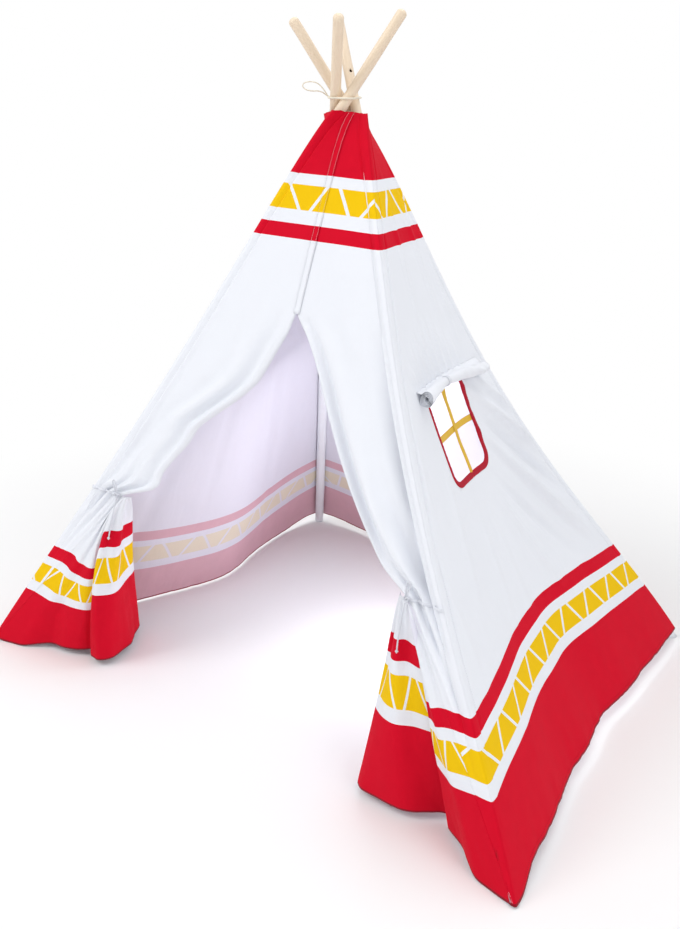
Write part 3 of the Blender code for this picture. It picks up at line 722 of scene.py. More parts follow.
def print_rise(wall, place, up_share):
    """Step of the print up the cloth, none at the corners and above the low bands."""
    return PRINT_RISE[wall] * sin(pi * clamp(place)) ** 0.7 * eased(1 - (up_share - 0.22) / 0.30)


def corner_dropped(corner, away, up_share):
    """Height share with the hem's corner drawn down to the floor, by the distance along the wall."""
    return up_share - CORNER_DROP[corner] * bell(max(away, 0), 0.05) * max(1 - up_share / HEM_DROP_TOP, 0)


def dropped(wall, place, up_share):
    """Height share with the hem hung down towards the floor, at the corners and along the wall."""
    aside = min(place, 1 - place)
    cornered = corner_dropped(WALLS[wall][0 if place < 0.5 else 1], aside, up_share)
    return min(cornered, up_share - HEM_DROP[wall] * eased(aside / 0.15) * max(1 - up_share / HEM_DROP_TOP, 0))


def cloth_length(row):
    """Cloth coordinate across a row, from its middle."""
    run = list(accumulate(((b - a).length for a, b in zip(row, row[1:])), initial=0.0))
    return [u - run[-1] / 2 for u in run]


CUT_STEPS = 60


def rise_between(wall, low, high):
    """Distance up the slope of a wall between two height shares."""
    below, above = wall_ends(wall, low), wall_ends(wall, high)
    return (above[0] - below[0]).cross((below[1] - below[0]).normalized()).length


def cut_size(wall, low, high, width):
    """Widest width, length up the slope and area that a panel was cut to, from its flat width at each height."""
    shares = steps(CUT_STEPS, low, high)
    widths = [width(share) for share in shares]
    rises = [rise_between(wall, a, b) for a, b in zip(shares, shares[1:])]
    area = sum(r * (a + b) / 2 for r, a, b in zip(rises, widths, widths[1:]))
    return (max(widths), sum(rises)), area


def build_wall(wall):
    places, shares = wall_places(), row_shares(WALL_ROWS)
    points = [[wall_column(wall, dropped(wall, place, share), place) for place in places] for share in shares]
    uvs = [
        [(u - PRINT_START[wall], slope_at(share) - print_rise(wall, place, share))
         for u, place in zip(cloth_length(row), places)]
        for row, share in zip(points, shares)
    ]
    made = cloth(f"cover_{wall}", points, uvs, f"wall_{wall}", COVER_LOOKS, f"wall_{wall}")
    if wall == "right":
        open_window(made, places, shares)
    flat, area = cut_size(wall, 0, 1, lambda share: wall_width(wall, share))


# How far each tied-back edge hangs into the door opening, in even steps from the door's point down to its tie.
DOOR_SLACK = {
    "left": (0.0, 0.021, 0.036, 0.051, 0.062, 0.056, 0.042, 0.031, 0.042, 0.043, 0.048, 0.062, 0.0),
    "right": (0.0, -0.003, 0.000, 0.007, 0.016, 0.024, 0.031, 0.036, 0.039, 0.039, 0.036, 0.029, 0.0),
}
DOOR_COLUMNS = 40
DOOR_FINE = (0, 0.25, 0.5, 0.75, 1, 1.25, 1.5, 1.75, 2, 2.5)
DOOR_ROWS = 120

# Folds of the tied-back door: how many, how deep at the tie, and how far they reach up.
DOOR_PLEATS = {"left": (3.2, 0.0055, 0.16), "right": (2.6, 0.0085, 0.17)}
PLEAT_REACH_DOWN = 0.12

# Soft rolls that run along the tied-back edge: distance from it, width and height.
DOOR_ROLLS = {
    "left": ((0.013, 0.011, 0.0110), (0.040, 0.013, -0.0100), (0.070, 0.016, 0.0065), (0.105, 0.020, -0.0040)),
    "right": ((0.002, 0.004, 0.0045), (0.017, 0.010, -0.0145), (0.044, 0.016, 0.0075), (0.085, 0.020, -0.0055)),
}

# Hollow beside the pole: its depth and how far from the corner it runs, its widths towards the corner and
# away from it, and the ridge past it as a share of the depth, a distance and a width.
DOOR_VALLEY = {"left": (0.004, 0.040), "right": (0.0320, 0.028)}
VALLEY_WIDTHS = (0.008, 0.032)
VALLEY_RIDGE = (0.22, 0.072, 0.020)


def door_edge(name, up_share):
    """Inner edge of a door half, and its corner."""
    side = SIDES[name]
    first, last = wall_ends("front", up_share)
    corner = first if side < 0 else last
    if up_share >= POINT_SHARE:
        return (first + last) / 2 + (last - first).normalized() * side * SEAM_GAP, corner
    if up_share >= TIE_SHARE:
        point = door_edge(name, POINT_SHARE)[0].x
        down = (POINT_SHARE - up_share) / (POINT_SHARE - TIE_SHARE)
        x = point + (side * DOOR_TIE_OUT - point) * down - side * smooth(DOOR_SLACK[name], down)
    else:
        hem_out = abs(wall_ends("front", 0)[1].x) - DOOR_CORNER_LEAF
        x = side * (DOOR_TIE_OUT + (hem_out - DOOR_TIE_OUT) * (TIE_SHARE - up_share) / TIE_SHARE)
    return first.lerp(last, (x - first.x) / (last.x - first.x)), corner


def door_point(name, out_share, up_share, out=0.0, folded=1.0):
    """Point of a door half, from its inner edge at 0 to its corner at 1, with pleats that run to the tie."""
    inner, corner = door_edge(name, up_share)
    point = inner.lerp(corner, out_share)
    width = (corner - inner).length
    near, far = out_share * width, (1 - out_share) * width
    down = clamp((POINT_SHARE - up_share) / (POINT_SHARE - TIE_SHARE))
    edge = sin(pi * clamp(out_share)) ** 0.7

    count, depth, reach = DOOR_PLEATS[name]
    above = (slope_at(up_share) - slope_at(TIE_SHARE)) / (reach if up_share > TIE_SHARE else PLEAT_REACH_DOWN)
    tied = bell(above, 1)
    pleat = depth * tied * edge * sin(tau * count * out_share + 2.6 * above)
    pleat += 0.32 * depth * tied**3 * edge * sin(tau * (2.6 * count) * out_share + 0.7)

    rolls = sum(height * bell(near - place, wide) for place, wide, height in DOOR_ROLLS[name])
    rolls *= sin(pi * down) ** 0.6 * clamp((width - near) / 0.03)
    valley, reach_in = DOOR_VALLEY[name]
    valley *= sin(pi * clamp(down * 0.72 + 0.04)) * eased((width - 0.05) / 0.06) * eased(near / 0.025)
    share, past, wide = VALLEY_RIDGE
    rolls -= valley * bell(far - reach_in, VALLEY_WIDTHS[0 if far < reach_in else 1])
    rolls += valley * share * bell(far - reach_in - past, wide)

    faint = crease((), point.x, slope_at(up_share)) * edge - door_groove(name, far - SEAM_REACH, up_share)
    return point + wall_normal("front") * (out + (pleat + rolls) * folded + faint)


def door_width(name, up_share):
    """Width of a door half beside its tail; above the tie it was cut to the middle of the front."""
    if up_share >= TIE_SHARE:
        return wall_width("front", up_share) / 2
    inner, corner = door_edge(name, up_share)
    return (corner - inner).length


def build_door(name):
    corner, left = f"front_{name}", name == "left"
    points, uvs = [], []
    for share in row_shares(DOOR_ROWS):
        inner, seam = door_edge(name, share)
        span = (seam - inner).length
        last = max(1 - (corner_curve(corner, share)[2 if left else 1] - seam).length / span, 0.02)
        row = [corner_point(corner, corner_dropped(corner, 0, share), left, turn) for turn in curve_turns()]
        for column in (*DOOR_FINE, *range(3, DOOR_COLUMNS + 1)):
            a = last * (1 - column / DOOR_COLUMNS)
            row.append(door_point(name, a, corner_dropped(corner, (1 - a) * span / FRONT_SPAN, share)))
        row = row[::-SIDES[name]]
        points.append(row)
        uvs.append([(p.x - FRONT_PRINT_START, slope_at(share)) for p in row])
    made = cloth(f"cover_door_{name}", points, uvs, "wall_front", COVER_LOOKS, f"door_{name}")
    flat, area = cut_size("front", 0, 1, lambda share: door_width(name, share))


# Door tails: hem outline on the floor, as shares of half the front span out and in.  The right one folds
# back once, and the left one a second time, behind its front.
TAIL_PATH_SHARES = {
    "left": ((0.975, 0.004), (0.905, 0.010), (0.830, 0.052), (0.765, 0.066), (0.700, 0.092), (0.668, 0.116),
             (0.640, 0.086), (0.608, 0.086), (0.580, 0.135), (0.595, 0.205), (0.635, 0.272), (0.681, 0.338),
             (0.745, 0.270), (0.805, 0.180)),
    "right": ((0.975, 0.004), (0.900, 0.008), (0.835, 0.050), (0.762, 0.098), (0.755, 0.125), (0.800, 0.160),
              (0.740, 0.150), (0.680, 0.126), (0.605, 0.083), (0.505, 0.085), (0.450, 0.115), (0.455, 0.175),
              (0.540, 0.235), (0.640, 0.250)),
}
TAIL_COLUMNS = 130
TAIL_ROWS = 70
TAIL_CREASE = {"left": 0.423, "right": 0.34}
TAIL_HEM_HEIGHT = 0.016
TAIL_BELLY = 0.018
TAIL_TOP_SPREAD = 0.024
TAIL_FLARE = {"left": (0.60, 0.70), "right": (0.60, 1.75)}
TAIL_PRINT_RISE = {"left": 0.016, "right": 0.004}
TAIL_PRINT_DIP = {"left": 0.018, "right": 0.006}
TAIL_PRINT_START = -0.02
TAIL_PLEATS = {"left": 5.91, "right": 6}
TAIL_PLEAT_DEPTH = 0.0066
TAIL_RIPPLES = 6.3
TAIL_RIPPLE_DEPTH = 0.0026
FREE_EDGE_SLOPE = {"left": 0.366, "right": 0.365}


def tail_point(name, across_share, up_share):
    """Point of a door tail: pleated at the tie, it fans out to a wavy hem."""
    side, half, down = SIDES[name], FRONT_SPAN / 2, 1 - up_share
    gap = Vector((side * SEAM_GAP, 0, 0))
    hem = [Vector((side * x * half, inward * half - DEPTH / 2, TAIL_HEM_HEIGHT))
           for x, inward in TAIL_PATH_SHARES[name]]
    hem[0] = door_edge(name, 0)[0] - gap
    low = smooth(hem, across_share)
    outward = (smooth(hem, across_share + 0.02) - smooth(hem, across_share - 0.02)).cross(UP).normalized() * side
    top = door_edge(name, TIE_SHARE)[0] - gap
    top += Vector((-side * across_share, across_share * (across_share - 0.5), 0)) * TAIL_TOP_SPREAD

    crease_share = TAIL_CREASE[name]
    at_crease, at_edge = TAIL_FLARE[name]
    power = 1 + (at_crease - 1) * eased(across_share / crease_share)
    power += (at_edge - at_crease) * eased((across_share - crease_share) / (1 - crease_share))
    point = top.lerp(low, down**power)
    point.z = top.z + (low.z - top.z) * down
    strip = corner_dropped(f"front_{name}", DOOR_CORNER_LEAF / FRONT_SPAN, 0)
    fall = door_edge(name, strip)[0] - door_edge(name, 0)[0]
    point += fall * bell(across_share, 0.12) * max(1 - up_share / 0.37, 0)
    point.y -= TAIL_BELLY * sin(pi * up_share) * sin(pi * across_share)

    edge = min(across_share / 0.06, 1) * min((1 - across_share) / 0.03, 1)
    pleat = TAIL_PLEAT_DEPTH * (1 - exp(-(down / 0.08))) * bell(down, 0.50)
    ripple = TAIL_RIPPLE_DEPTH * bell(up_share, 0.14) * sin(tau * TAIL_RIPPLES * across_share + 0.8)
    faint = crease((), across_share * 0.5, HEM_START + up_share * 0.4)
    return point + outward * edge * (pleat * sin(tau * TAIL_PLEATS[name] * across_share) + ripple + faint)


def build_tail(name):
    shares = [0.0] + steps(TAIL_ROWS, 0.010, 1)
    across = steps(TAIL_COLUMNS)[::-SIDES[name]]
    points = [[tail_point(name, a, share) for a in across] for share in shares]
    width, folded_at = path_length(points[0]), TAIL_CREASE[name]

    def print_at(a, share):
        top = slope_at(TIE_SHARE)
        top += (FREE_EDGE_SLOPE[name] - top) * eased((a - folded_at + 0.06) / 0.12)
        rise = TAIL_PRINT_RISE[name] * eased((a - 0.65) / 0.35)
        rise -= TAIL_PRINT_DIP[name] * eased(a / 0.20) * eased((folded_at + 0.05 - a) / 0.12)
        return width * a - TAIL_PRINT_START, HEM_START + (top - HEM_START) * share - rise * sin(pi * share)

    uvs = [[print_at(a, share) for a in across] for share in shares]
    made = cloth(f"cover_tail_{name}", points, uvs, f"tail_{name}", COVER_LOOKS, f"door_tail_{name}")
    flat, area = cut_size("front", 0, TIE_SHARE - 1e-6,
                          lambda share: wall_width("front", share) / 2 - door_width(name, share))


PLACKET_WIDTH = 0.014
PLACKET_CLOTH = 0.0007
PLACKET_STAND = 0.0016
PLACKET_STITCH_OUT = 0.36


def build_placket():
    """Folded strip over the door's seam above its point, with a row of stitches along each side."""
    shares = steps(60, POINT_SHARE, 1)

    def spot(across, share, out):
        first, last = wall_ends("front", share)
        way = (last - first).normalized()
        rise = sum(wall_ends("front", share + 0.02), Vector()) - first - last
        lift = crease((), (first.x + last.x) / 2, slope_at(share))
        return (first + last) / 2 + way * across + way.cross(rise).normalized() * (PLACKET_STAND + out + lift)

    across = steps(6, -PLACKET_WIDTH / 2, PLACKET_WIDTH / 2)
    points = [[spot(a, share, 0.0004 * cos(pi * a / PLACKET_WIDTH)) for a in across] for share in shares]
    uvs = [[(p.x - FRONT_PRINT_START, slope_at(share)) for p in row] for row, share in zip(points, shares)]
    made = cloth("cover_placket", points, uvs, "wall_front", ("cotton_outside",), "door_placket",
                 thickness=PLACKET_CLOTH)
    for name, side in SIDES.items():
        path = [spot(side * PLACKET_WIDTH * PLACKET_STITCH_OUT, share, 0.0008) for share in shares]
        stitches(f"placket_stitches_{name}", path, wall_normal("front"), "wall_front")


SEAM_STITCH_PLACE = 0.0075
SEAM_STITCH_OUT = 0.008
SEAM_STITCH_SHARES = (0.20, 0.795)
HEM_STITCH_SHARE = 0.0075
HEM_STITCH_PLACES = (0.012, 0.988)
SEAM_PITCH = 0.0045


def build_seams():
    """Stitches beside the poles and along the hems, just off the cloth."""
    lift = CLOTH / 2 + 0.0002
    shares = steps(160, *SEAM_STITCH_SHARES)

    def on_wall(wall, places, heights):
        return [wall_column(wall, dropped(wall, place, share), place) + wall_normal(wall) * lift
                for place in places for share in heights]

    def stitch(kind, wall, path, look="thread"):
        stitches(kind.format(wall), path, wall_normal(wall), f"wall_{wall}", look, SEAM_PITCH)

    for wall in ("right", "back", "left"):
        stitch("seam_stitches_{}_first", wall, on_wall(wall, [SEAM_STITCH_PLACE], shares))
        stitch("seam_stitches_{}_last", wall, on_wall(wall, [1 - SEAM_STITCH_PLACE], shares))
        stitch("hem_stitches_{}", wall, on_wall(wall, steps(200, *HEM_STITCH_PLACES), [HEM_STITCH_SHARE]), "thread_red")
    for name in SIDES:
        path = []
        for share in shares:
            inner, seam = door_edge(name, share)
            out_share = 1 - (SEAM_REACH + SEAM_STITCH_OUT) / (seam - inner).length
            if out_share > 0.1:
                path.append(door_point(name, out_share, share) + wall_normal("front") * lift)
        stitch("seam_stitches_{}_" + name, "front", path)


SLEEVE_CLOTH = 0.0007


def build_sleeve(corner):
    """White cloth tube that the pole stands in, softly wrinkled and closed at the floor."""
    distances = [0.0] + steps(150, 0.016, SLEEVE_TOP)
    path = [pole_point(corner, d) for d in distances]

    def radius(k, angle):
        return SLEEVE_RADIUS - 0.0004 + 0.0006 * uneven(cos(angle) * 1.3, sin(angle) * 1.3, distances[k] * 14)

    loops = rings(path, radius, 24, tangent(corner))
    way = (path[2] - path[0]).normalized()
    loops[0] = [p - way * (p.z - 0.0003) / way.z for p in loops[0]]
    made = shell(f"pole_sleeve_{corner}", loops, "cotton_white", f"pole_{corner}",
                 [f"sleeve_{corner}"], caps=(True, False))
    thicken(made, SLEEVE_CLOTH, -1)


POLE_DOME = 0.008
POLE_TOP_START = POLE_LENGTH / 2 + 0.031
DRILLED_POLE = "front_right"
CORD_HOLE_PITCH = 0.034
CORD_HOLE_RADIUS = 0.0025


def drilled(made, corner):
    """Two small cord holes through the pole above the crossing, their walls coloured near black as painted shade."""
    for i in range(2):
        middle = pole_point(corner, SLANTS[corner] + (i + 1) * CORD_HOLE_PITCH)
        reach = radial(corner) * POLE_RADIUS * 2
        tool = bpy.data.objects.new("hole", bpy.data.meshes.new("hole"))
        form = bmesh.new()
        turn = reach.to_track_quat("Z", "Y").to_matrix().to_4x4()
        bmesh.ops.create_cone(form, cap_ends=True, segments=20, radius1=CORD_HOLE_RADIUS, radius2=CORD_HOLE_RADIUS,
                              depth=reach.length * 2, matrix=Matrix.Translation(middle) @ turn)
        form.to_mesh(tool.data)
        form.free()
        # The cut walls take this near-black look: painted shade inside the hole.
        tool.data.materials.append(MATERIALS["wood_dark"])
        bpy.context.scene.collection.objects.link(tool)
        cut = made.modifiers.new("hole", "BOOLEAN")
        cut.object = tool
        cut.solver = "EXACT"
        cut.material_mode = "TRANSFER"
        bpy.context.view_layer.update()
        mesh = bpy.data.meshes.new_from_object(made.evaluated_get(bpy.context.evaluated_depsgraph_get()))
        made.modifiers.clear()
        made.data = mesh
        bpy.data.objects.remove(tool, do_unlink=True)


def build_pole_top(corner, index):
    """Upper pole section: peeled wood, not quite even, with a rounded end."""
    shaft_end = POLE_LENGTH - POLE_DOME
    dome = [POLE_LENGTH - POLE_DOME * (1 - sin(a * pi / 2)) for a in (0.2, 0.4, 0.6, 0.8, 0.95)]
    distances = steps(120, POLE_TOP_START, shaft_end) + dome
    path = [pole_point(corner, d) for d in distances]

    def radius(k, angle):
        past = max(0.0, (distances[k] - shaft_end) / POLE_DOME)
        bumps = uneven(cos(angle), sin(angle), distances[k] * 16 + 7 * index)
        return (POLE_RADIUS - 0.0006 + 0.0006 * bumps) * sqrt(max(1 - past**2, 0.0))

    made = shell(f"pole_top_{corner}", rings(path, radius, 28, tangent(corner)), "wood", f"pole_{corner}",
                 [f"pole_{corner}_upper"])
    if corner == DRILLED_POLE:
        drilled(made, corner)
    made.data.shade_smooth()
    for node, look in ((f"pole_{corner}_lower", "wood_inside"), (f"ferrule_{corner}", "steel")):
        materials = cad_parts[node].data.materials
        materials.clear()
        materials.append(MATERIALS[look])


# Lashing.

LASHING_RADIUS = 0.0020
LASHING_RISE = 0.010
LASHING_GAP = 0.0006
LOOP_RADIUS = 0.0011
LOOP_ROUTE = (
    (-0.0312, -0.0076, 0.0100), (-0.0356, -0.0120, 0.0130), (-0.0409, -0.0171, 0.0180), (-0.0477, -0.0233, 0.0205),
    (-0.0563, -0.0322, 0.0205), (-0.0645, -0.0405, 0.0235), (-0.0672, -0.0450, 0.0295), (-0.0630, -0.0442, 0.0350),
    (-0.0532, -0.0377, 0.0372), (-0.0439, -0.0304, 0.0345), (-0.0366, -0.0239, 0.0265), (-0.0308, -0.0190, 0.0165),
    (-0.0273, -0.0170, 0.0100),
)


def lashing_path(count):
    """Closed loop pulled tight round the four poles, level, just above the crossing."""
    lean = (SLANT**2 - CROSSING.z**2) ** 0.5 / CROSSING.z
    long = POLE_RADIUS * SLANT / CROSSING.z
    points = []
    for angle in steps(count, 0, tau)[:-1]:
        way = Vector((cos(angle), sin(angle), 0))
        touches = []
        for corner in CORNERS:
            middle = crossing(corner) - radial(corner) * lean * LASHING_RISE
            a, b = long * way.dot(radial(corner)), POLE_RADIUS * way.dot(tangent(corner))
            touches.append(middle + (radial(corner) * a * long + tangent(corner) * b * POLE_RADIUS) / hypot(a, b))
        best = max(touches, key=way.dot)
        points.append(best + way * (LASHING_RADIUS + LASHING_GAP) + UP * LASHING_RISE)
    return points


def rope(name, points, radius, look, body, node, closed=False):
    """Braided cord along a path."""
    loops = rings(points, radius, 12, Vector((0.3, 0.5, 0.81)), closed)
    return shell(name, loops, look, body, [node], closed=closed)


def free_cord(name, route, middle, side, radius, look, body, node):
    """Cord that hangs free on one smooth curve through its route."""
    stops = [middle + Vector((side * x, y, z)) for x, y, z in route]
    points = [smooth(stops, share) for share in steps(6 * len(stops))]
    made = rope(name, points, radius, look, body, node)


def build_lashing():
    rope("lashing", lashing_path(144), LASHING_RADIUS, "elastic", "crossing", "lashing_cord", closed=True)
    free_cord("lashing_free_loop", LOOP_ROUTE, CROSSING, 1, LOOP_RADIUS, "elastic", "crossing",
              "lashing_loop")


# Door ties.

TIE_WIDTH = 0.007
TIE_TAPE = 0.0009
TIE_PINCH = 0.35
TIE_KNOT_SIZE = Vector((0.0075, 0.0060, 0.0070))
TIE_KNOT_CORD = 0.0017
TIE_KNOT_OUT_SHARE = 0.06
TIE_KNOT_OUT = 0.0095
TIE_CORD_RADIUS = 0.0014
TIE_END_SIZE = Vector((0.0028, 0.0028, 0.0034))
TIE_END_CORD = 0.0012
TIE_OUT = 0.00325
TIE_LOOP_ROUTE = (
    (0.0015, -0.0010, 0.0074), (0.0025, -0.0018, 0.0150), (0.0060, -0.0020, 0.0230), (0.0075, -0.0015, 0.0290),
    (0.0050, -0.0010, 0.0335), (0.0010, -0.0010, 0.0315), (-0.0010, -0.0012, 0.0250), (-0.0018, -0.0012, 0.0170),
    (-0.0022, -0.0008, 0.0074),
)
TIE_TAIL_ROUTE = (
    (-0.0020, -0.0030, -0.0072), (-0.0020, -0.0050, -0.0150), (-0.0015, -0.0090, -0.0260),
    (-0.0010, -0.0140, -0.0400), (-0.0005, -0.0190, -0.0560), (0.0000, -0.0235, -0.0720),
    (0.0010, -0.0270, -0.0880),
)


def build_knot(name, middle, size, radius, body, node):
    """Knot of one cord, over and under itself three times, pulled small."""
    reach = size - Vector((radius, radius, radius))
    points = []
    for t in steps(90, 0, tau)[:-1]:
        x = (sin(t) + 2 * sin(2 * t)) / 2.8
        z = (cos(t) - 2 * cos(2 * t)) / 2.8
        points.append(middle + Vector((x * reach.x, sin(3 * t) * reach.y * 0.8, z * reach.z)))
    return rope(name, points, radius, "cord_white", body, node, closed=True)


def build_ties():
    first, last = wall_ends("front", TIE_SHARE)
    rise = wall_normal("front").cross(last - first).normalized() * TIE_WIDTH
    for name, side in SIDES.items():
        base = [door_point(name, a, TIE_SHARE, TIE_OUT, 0.75) for a in steps(60, 0.03, 0.97)[::side]]
        points = [[p + rise * (r / 4 - 0.5) * (1 - TIE_PINCH * sin(9 * i / 60) ** 2) for i, p in enumerate(base)]
                  for r in range(5)]
        uvs = [[(p.x, slope_at(TIE_SHARE) + 0.001 * r) for p in row] for r, row in enumerate(points)]
        tape = cloth(f"tie_tape_{name}", points, uvs, "wall_front", ("tape_white",), f"door_tie_{name}",
                     TIE_TAPE)
        knot = door_point(name, TIE_KNOT_OUT_SHARE, TIE_SHARE, TIE_KNOT_OUT, 0)
        build_knot(f"tie_knot_{name}", knot, TIE_KNOT_SIZE, TIE_KNOT_CORD, "wall_front", f"door_tie_knot_{name}")
        free_cord(f"tie_loop_{name}", TIE_LOOP_ROUTE, knot, side, TIE_CORD_RADIUS, "cord_white", "wall_front",
                  f"door_tie_loop_{name}")
        tip, before = (Vector((side * x, y, z)) for x, y, z in TIE_TAIL_ROUTE[:-3:-1])
        middle = knot + tip + (tip - before).normalized() * TIE_END_SIZE.z
        end = build_knot(f"tie_end_{name}", middle, TIE_END_SIZE, TIE_END_CORD, f"tail_{name}", f"door_tie_end_{name}")
        free_cord(f"tie_tail_{name}", TIE_TAIL_ROUTE, knot, side, TIE_CORD_RADIUS, "cord_white", f"tail_{name}",
                  f"door_tie_tail_{name}")


# Window.

WINDOW_WIDTH = 0.176
WINDOW_HEIGHT = 0.198
WINDOW_CORNER = 0.030
WINDOW_PERIMETER = 2 * (WINDOW_WIDTH + WINDOW_HEIGHT) - (8 - tau) * WINDOW_CORNER
WINDOW_ALONG = -0.015
WINDOW_UP = 0.657
BINDING_WIDTH = 0.014
RIBBON_WIDTH = 0.013
RIBBON_CLOTH = 0.0005
RIBBON_LIFT = 0.0007
FLAP_WIDTH = 0.305
FLAP_OFFSET = 0.025
FLAP_CLOTH = 0.0008
FLAP_ROLL_RADIUS = 0.0125
FLAP_TURNS = 4
FLAP_PITCH = 0.0021
FLAP_LEAVES_AT = 0.62 * pi
FLAP_TIE_WIDTH = 0.010
FLAP_TIE_OFFSET = -0.003
FLAP_SEAM = (WINDOW_HEIGHT + BINDING_WIDTH) / 2 + 0.0021
FLAP_MIDDLE = FLAP_SEAM - FLAP_ROLL_RADIUS - 0.0015
FLAP_STAND = FLAP_ROLL_RADIUS + 0.0039
WALL_SLOPE = (wall_point("right", 0.5, 1) - wall_point("right", 0.5, 0)).length


def window_point(x, y, out=0.0, gathered=True):
    """Point of the right wall's cloth by its offset from the window's middle."""
    up_share = (WINDOW_UP + y) / WALL_SLOPE
    along_share = 0.5 + (WINDOW_ALONG + x) / wall_width("right", up_share)
    return wall_point("right", along_share, up_share, out, gathered)


def window_outline(share):
    """Point and outward direction on the window's edge, anticlockwise from its right side."""
    place = share * WINDOW_PERIMETER
    w, h = WINDOW_WIDTH / 2 - WINDOW_CORNER, WINDOW_HEIGHT / 2 - WINDOW_CORNER
    for turn in range(4):
        out, half = (w, h) if turn % 2 == 0 else (h, w)
        angle = turn * pi / 2
        way = Vector((cos(angle), sin(angle)))
        along = Vector((-way.y, way.x))
        if place <= 2 * half:
            return way * (out + WINDOW_CORNER) + along * (place - half), way
        place -= 2 * half
        if place <= WINDOW_CORNER * pi / 2:
            angle += place / WINDOW_CORNER
            turned = Vector((cos(angle), sin(angle)))
            return way * out + along * half + turned * WINDOW_CORNER, turned
        place -= WINDOW_CORNER * pi / 2
    raise ValueError(f"{share} is past the end of the outline")


def edge_step(x, y):
    """Distance outside the window's edge, below 0 inside it, and the nearest point on the edge."""
    w, h = WINDOW_WIDTH / 2 - WINDOW_CORNER, WINDOW_HEIGHT / 2 - WINDOW_CORNER
    core = Vector((min(max(x, -w), w), min(max(y, -h), h)))
    away = Vector((x, y)) - core
    if away.length > TINY:
        return away.length - WINDOW_CORNER, core + away.normalized() * WINDOW_CORNER
    if w - abs(x) < h - abs(y):
        return -WINDOW_CORNER, Vector((copysign(WINDOW_WIDTH / 2, x), y))
    return -WINDOW_CORNER, Vector((x, copysign(WINDOW_HEIGHT / 2, y)))


def open_window(made, places, shares):
    """Cut the opening out of the wall's grid, its edge drawn to the rounded outline."""
    form = bmesh.new()
    form.from_mesh(made.data)
    form.verts.ensure_lookup_table()
    spots = {}
    for r, share in enumerate(shares):
        for c, place in enumerate(places):
            if 0 <= place <= 1:
                along = (along_share_at("right", share, place) - 0.5) * wall_width("right", share)
                spots[r * len(places) + c] = (along - WINDOW_ALONG, share * WALL_SLOPE - WINDOW_UP)
    inside = []
    for face in form.faces:
        if all(v.index in spots for v in face.verts):
            middle = [sum(spots[v.index][k] for v in face.verts) / 4 for k in (0, 1)]
            if edge_step(*middle)[0] < 0:
                inside.append(face)
    edge = {v.index for face in inside for v in face.verts if any(f not in inside for f in v.link_faces)}
    for index in edge:
        form.verts[index].co = window_point(*edge_step(*spots[index])[1])
    bmesh.ops.delete(form, geom=inside, context="FACES")
    form.to_mesh(made.data)
    form.free()


def build_ribbon(name, node, reach, out, upright):
    """Strip of ribbon across the window, not quite straight or flat."""
    rows = []
    for wide_share in steps(6, -0.5, 0.5):
        row = []
        for run in steps(48, -reach, reach):
            wide = wide_share * RIBBON_WIDTH + 0.0008 * sin(run * 31)
            lift = out + 0.0004 * sin(run * 55) + 0.0003 * cos(pi * wide_share)
            row.append(window_point(wide, run, lift) if upright else window_point(run, wide, lift))
        rows.append(row)
    if upright:
        rows.reverse()
    uvs = [[(0.004 * i, 0.002 * j) for i in range(49)] for j in range(7)]
    made = cloth(name, rows, uvs, "wall_right", ("ribbon_gold",), node, RIBBON_CLOTH)


def build_window():
    loops = []
    for share in steps(160)[:-1]:
        flat, way = window_outline(share)
        half = 0.0055 + 0.0012 * (way.x - way.y) + 0.0004 * uneven(flat.x * 60, flat.y * 60, 5.0)
        ring = []
        for angle in steps(14, 0, tau)[:-1]:
            spot = flat + way * copysign(abs(cos(angle)) ** 0.6, cos(angle)) * half
            pucker = 0.00025 * sin(flat.x * 900 + flat.y * 900)
            ring.append(window_point(*spot, 0.0004 + sin(angle) * (0.0015 + pucker)))
        loops.append(ring)
    made = shell("window_edge", loops, "cotton_red", "wall_right", ["window_binding"], closed=True)
    build_ribbon("window_bar_upright", "window_ribbon_upright", WINDOW_HEIGHT / 2, RIBBON_LIFT, True)
    build_ribbon("window_bar_level", "window_ribbon_level", WINDOW_WIDTH / 2, -RIBBON_LIFT, False)


def roll_radius(x, angle, share):
    """Radius of the rolled flap: pinched by its strap, lumpy, and looser towards its ends."""
    pinch = 1 - 0.24 * bell(x - FLAP_TIE_OFFSET, 0.030)
    lumps = 0.0022 * uneven(x * 22, cos(angle) * 0.9, sin(angle) * 0.9)
    ridges = 0.0004 * sin(x * 190 + angle * 2.0 + 3 * uneven(x * 12, 0, 4)) * share
    loose = 1 + 0.30 * clamp(-(x + 0.03) / 0.09) ** 1.5
    wound = FLAP_ROLL_RADIUS - 0.0008 - FLAP_PITCH * FLAP_TURNS * (1 - share)
    return wound * pinch * loose + (lumps + ridges) * share


def roll_droop(x):
    """How far the rolled flap hangs below its seam beyond the strap, most at its far end."""
    return 0.013 * clamp((x - FLAP_TIE_OFFSET) / 0.17) ** 1.2 + 0.006 * clamp(-(x + 0.02) / 0.11) ** 2


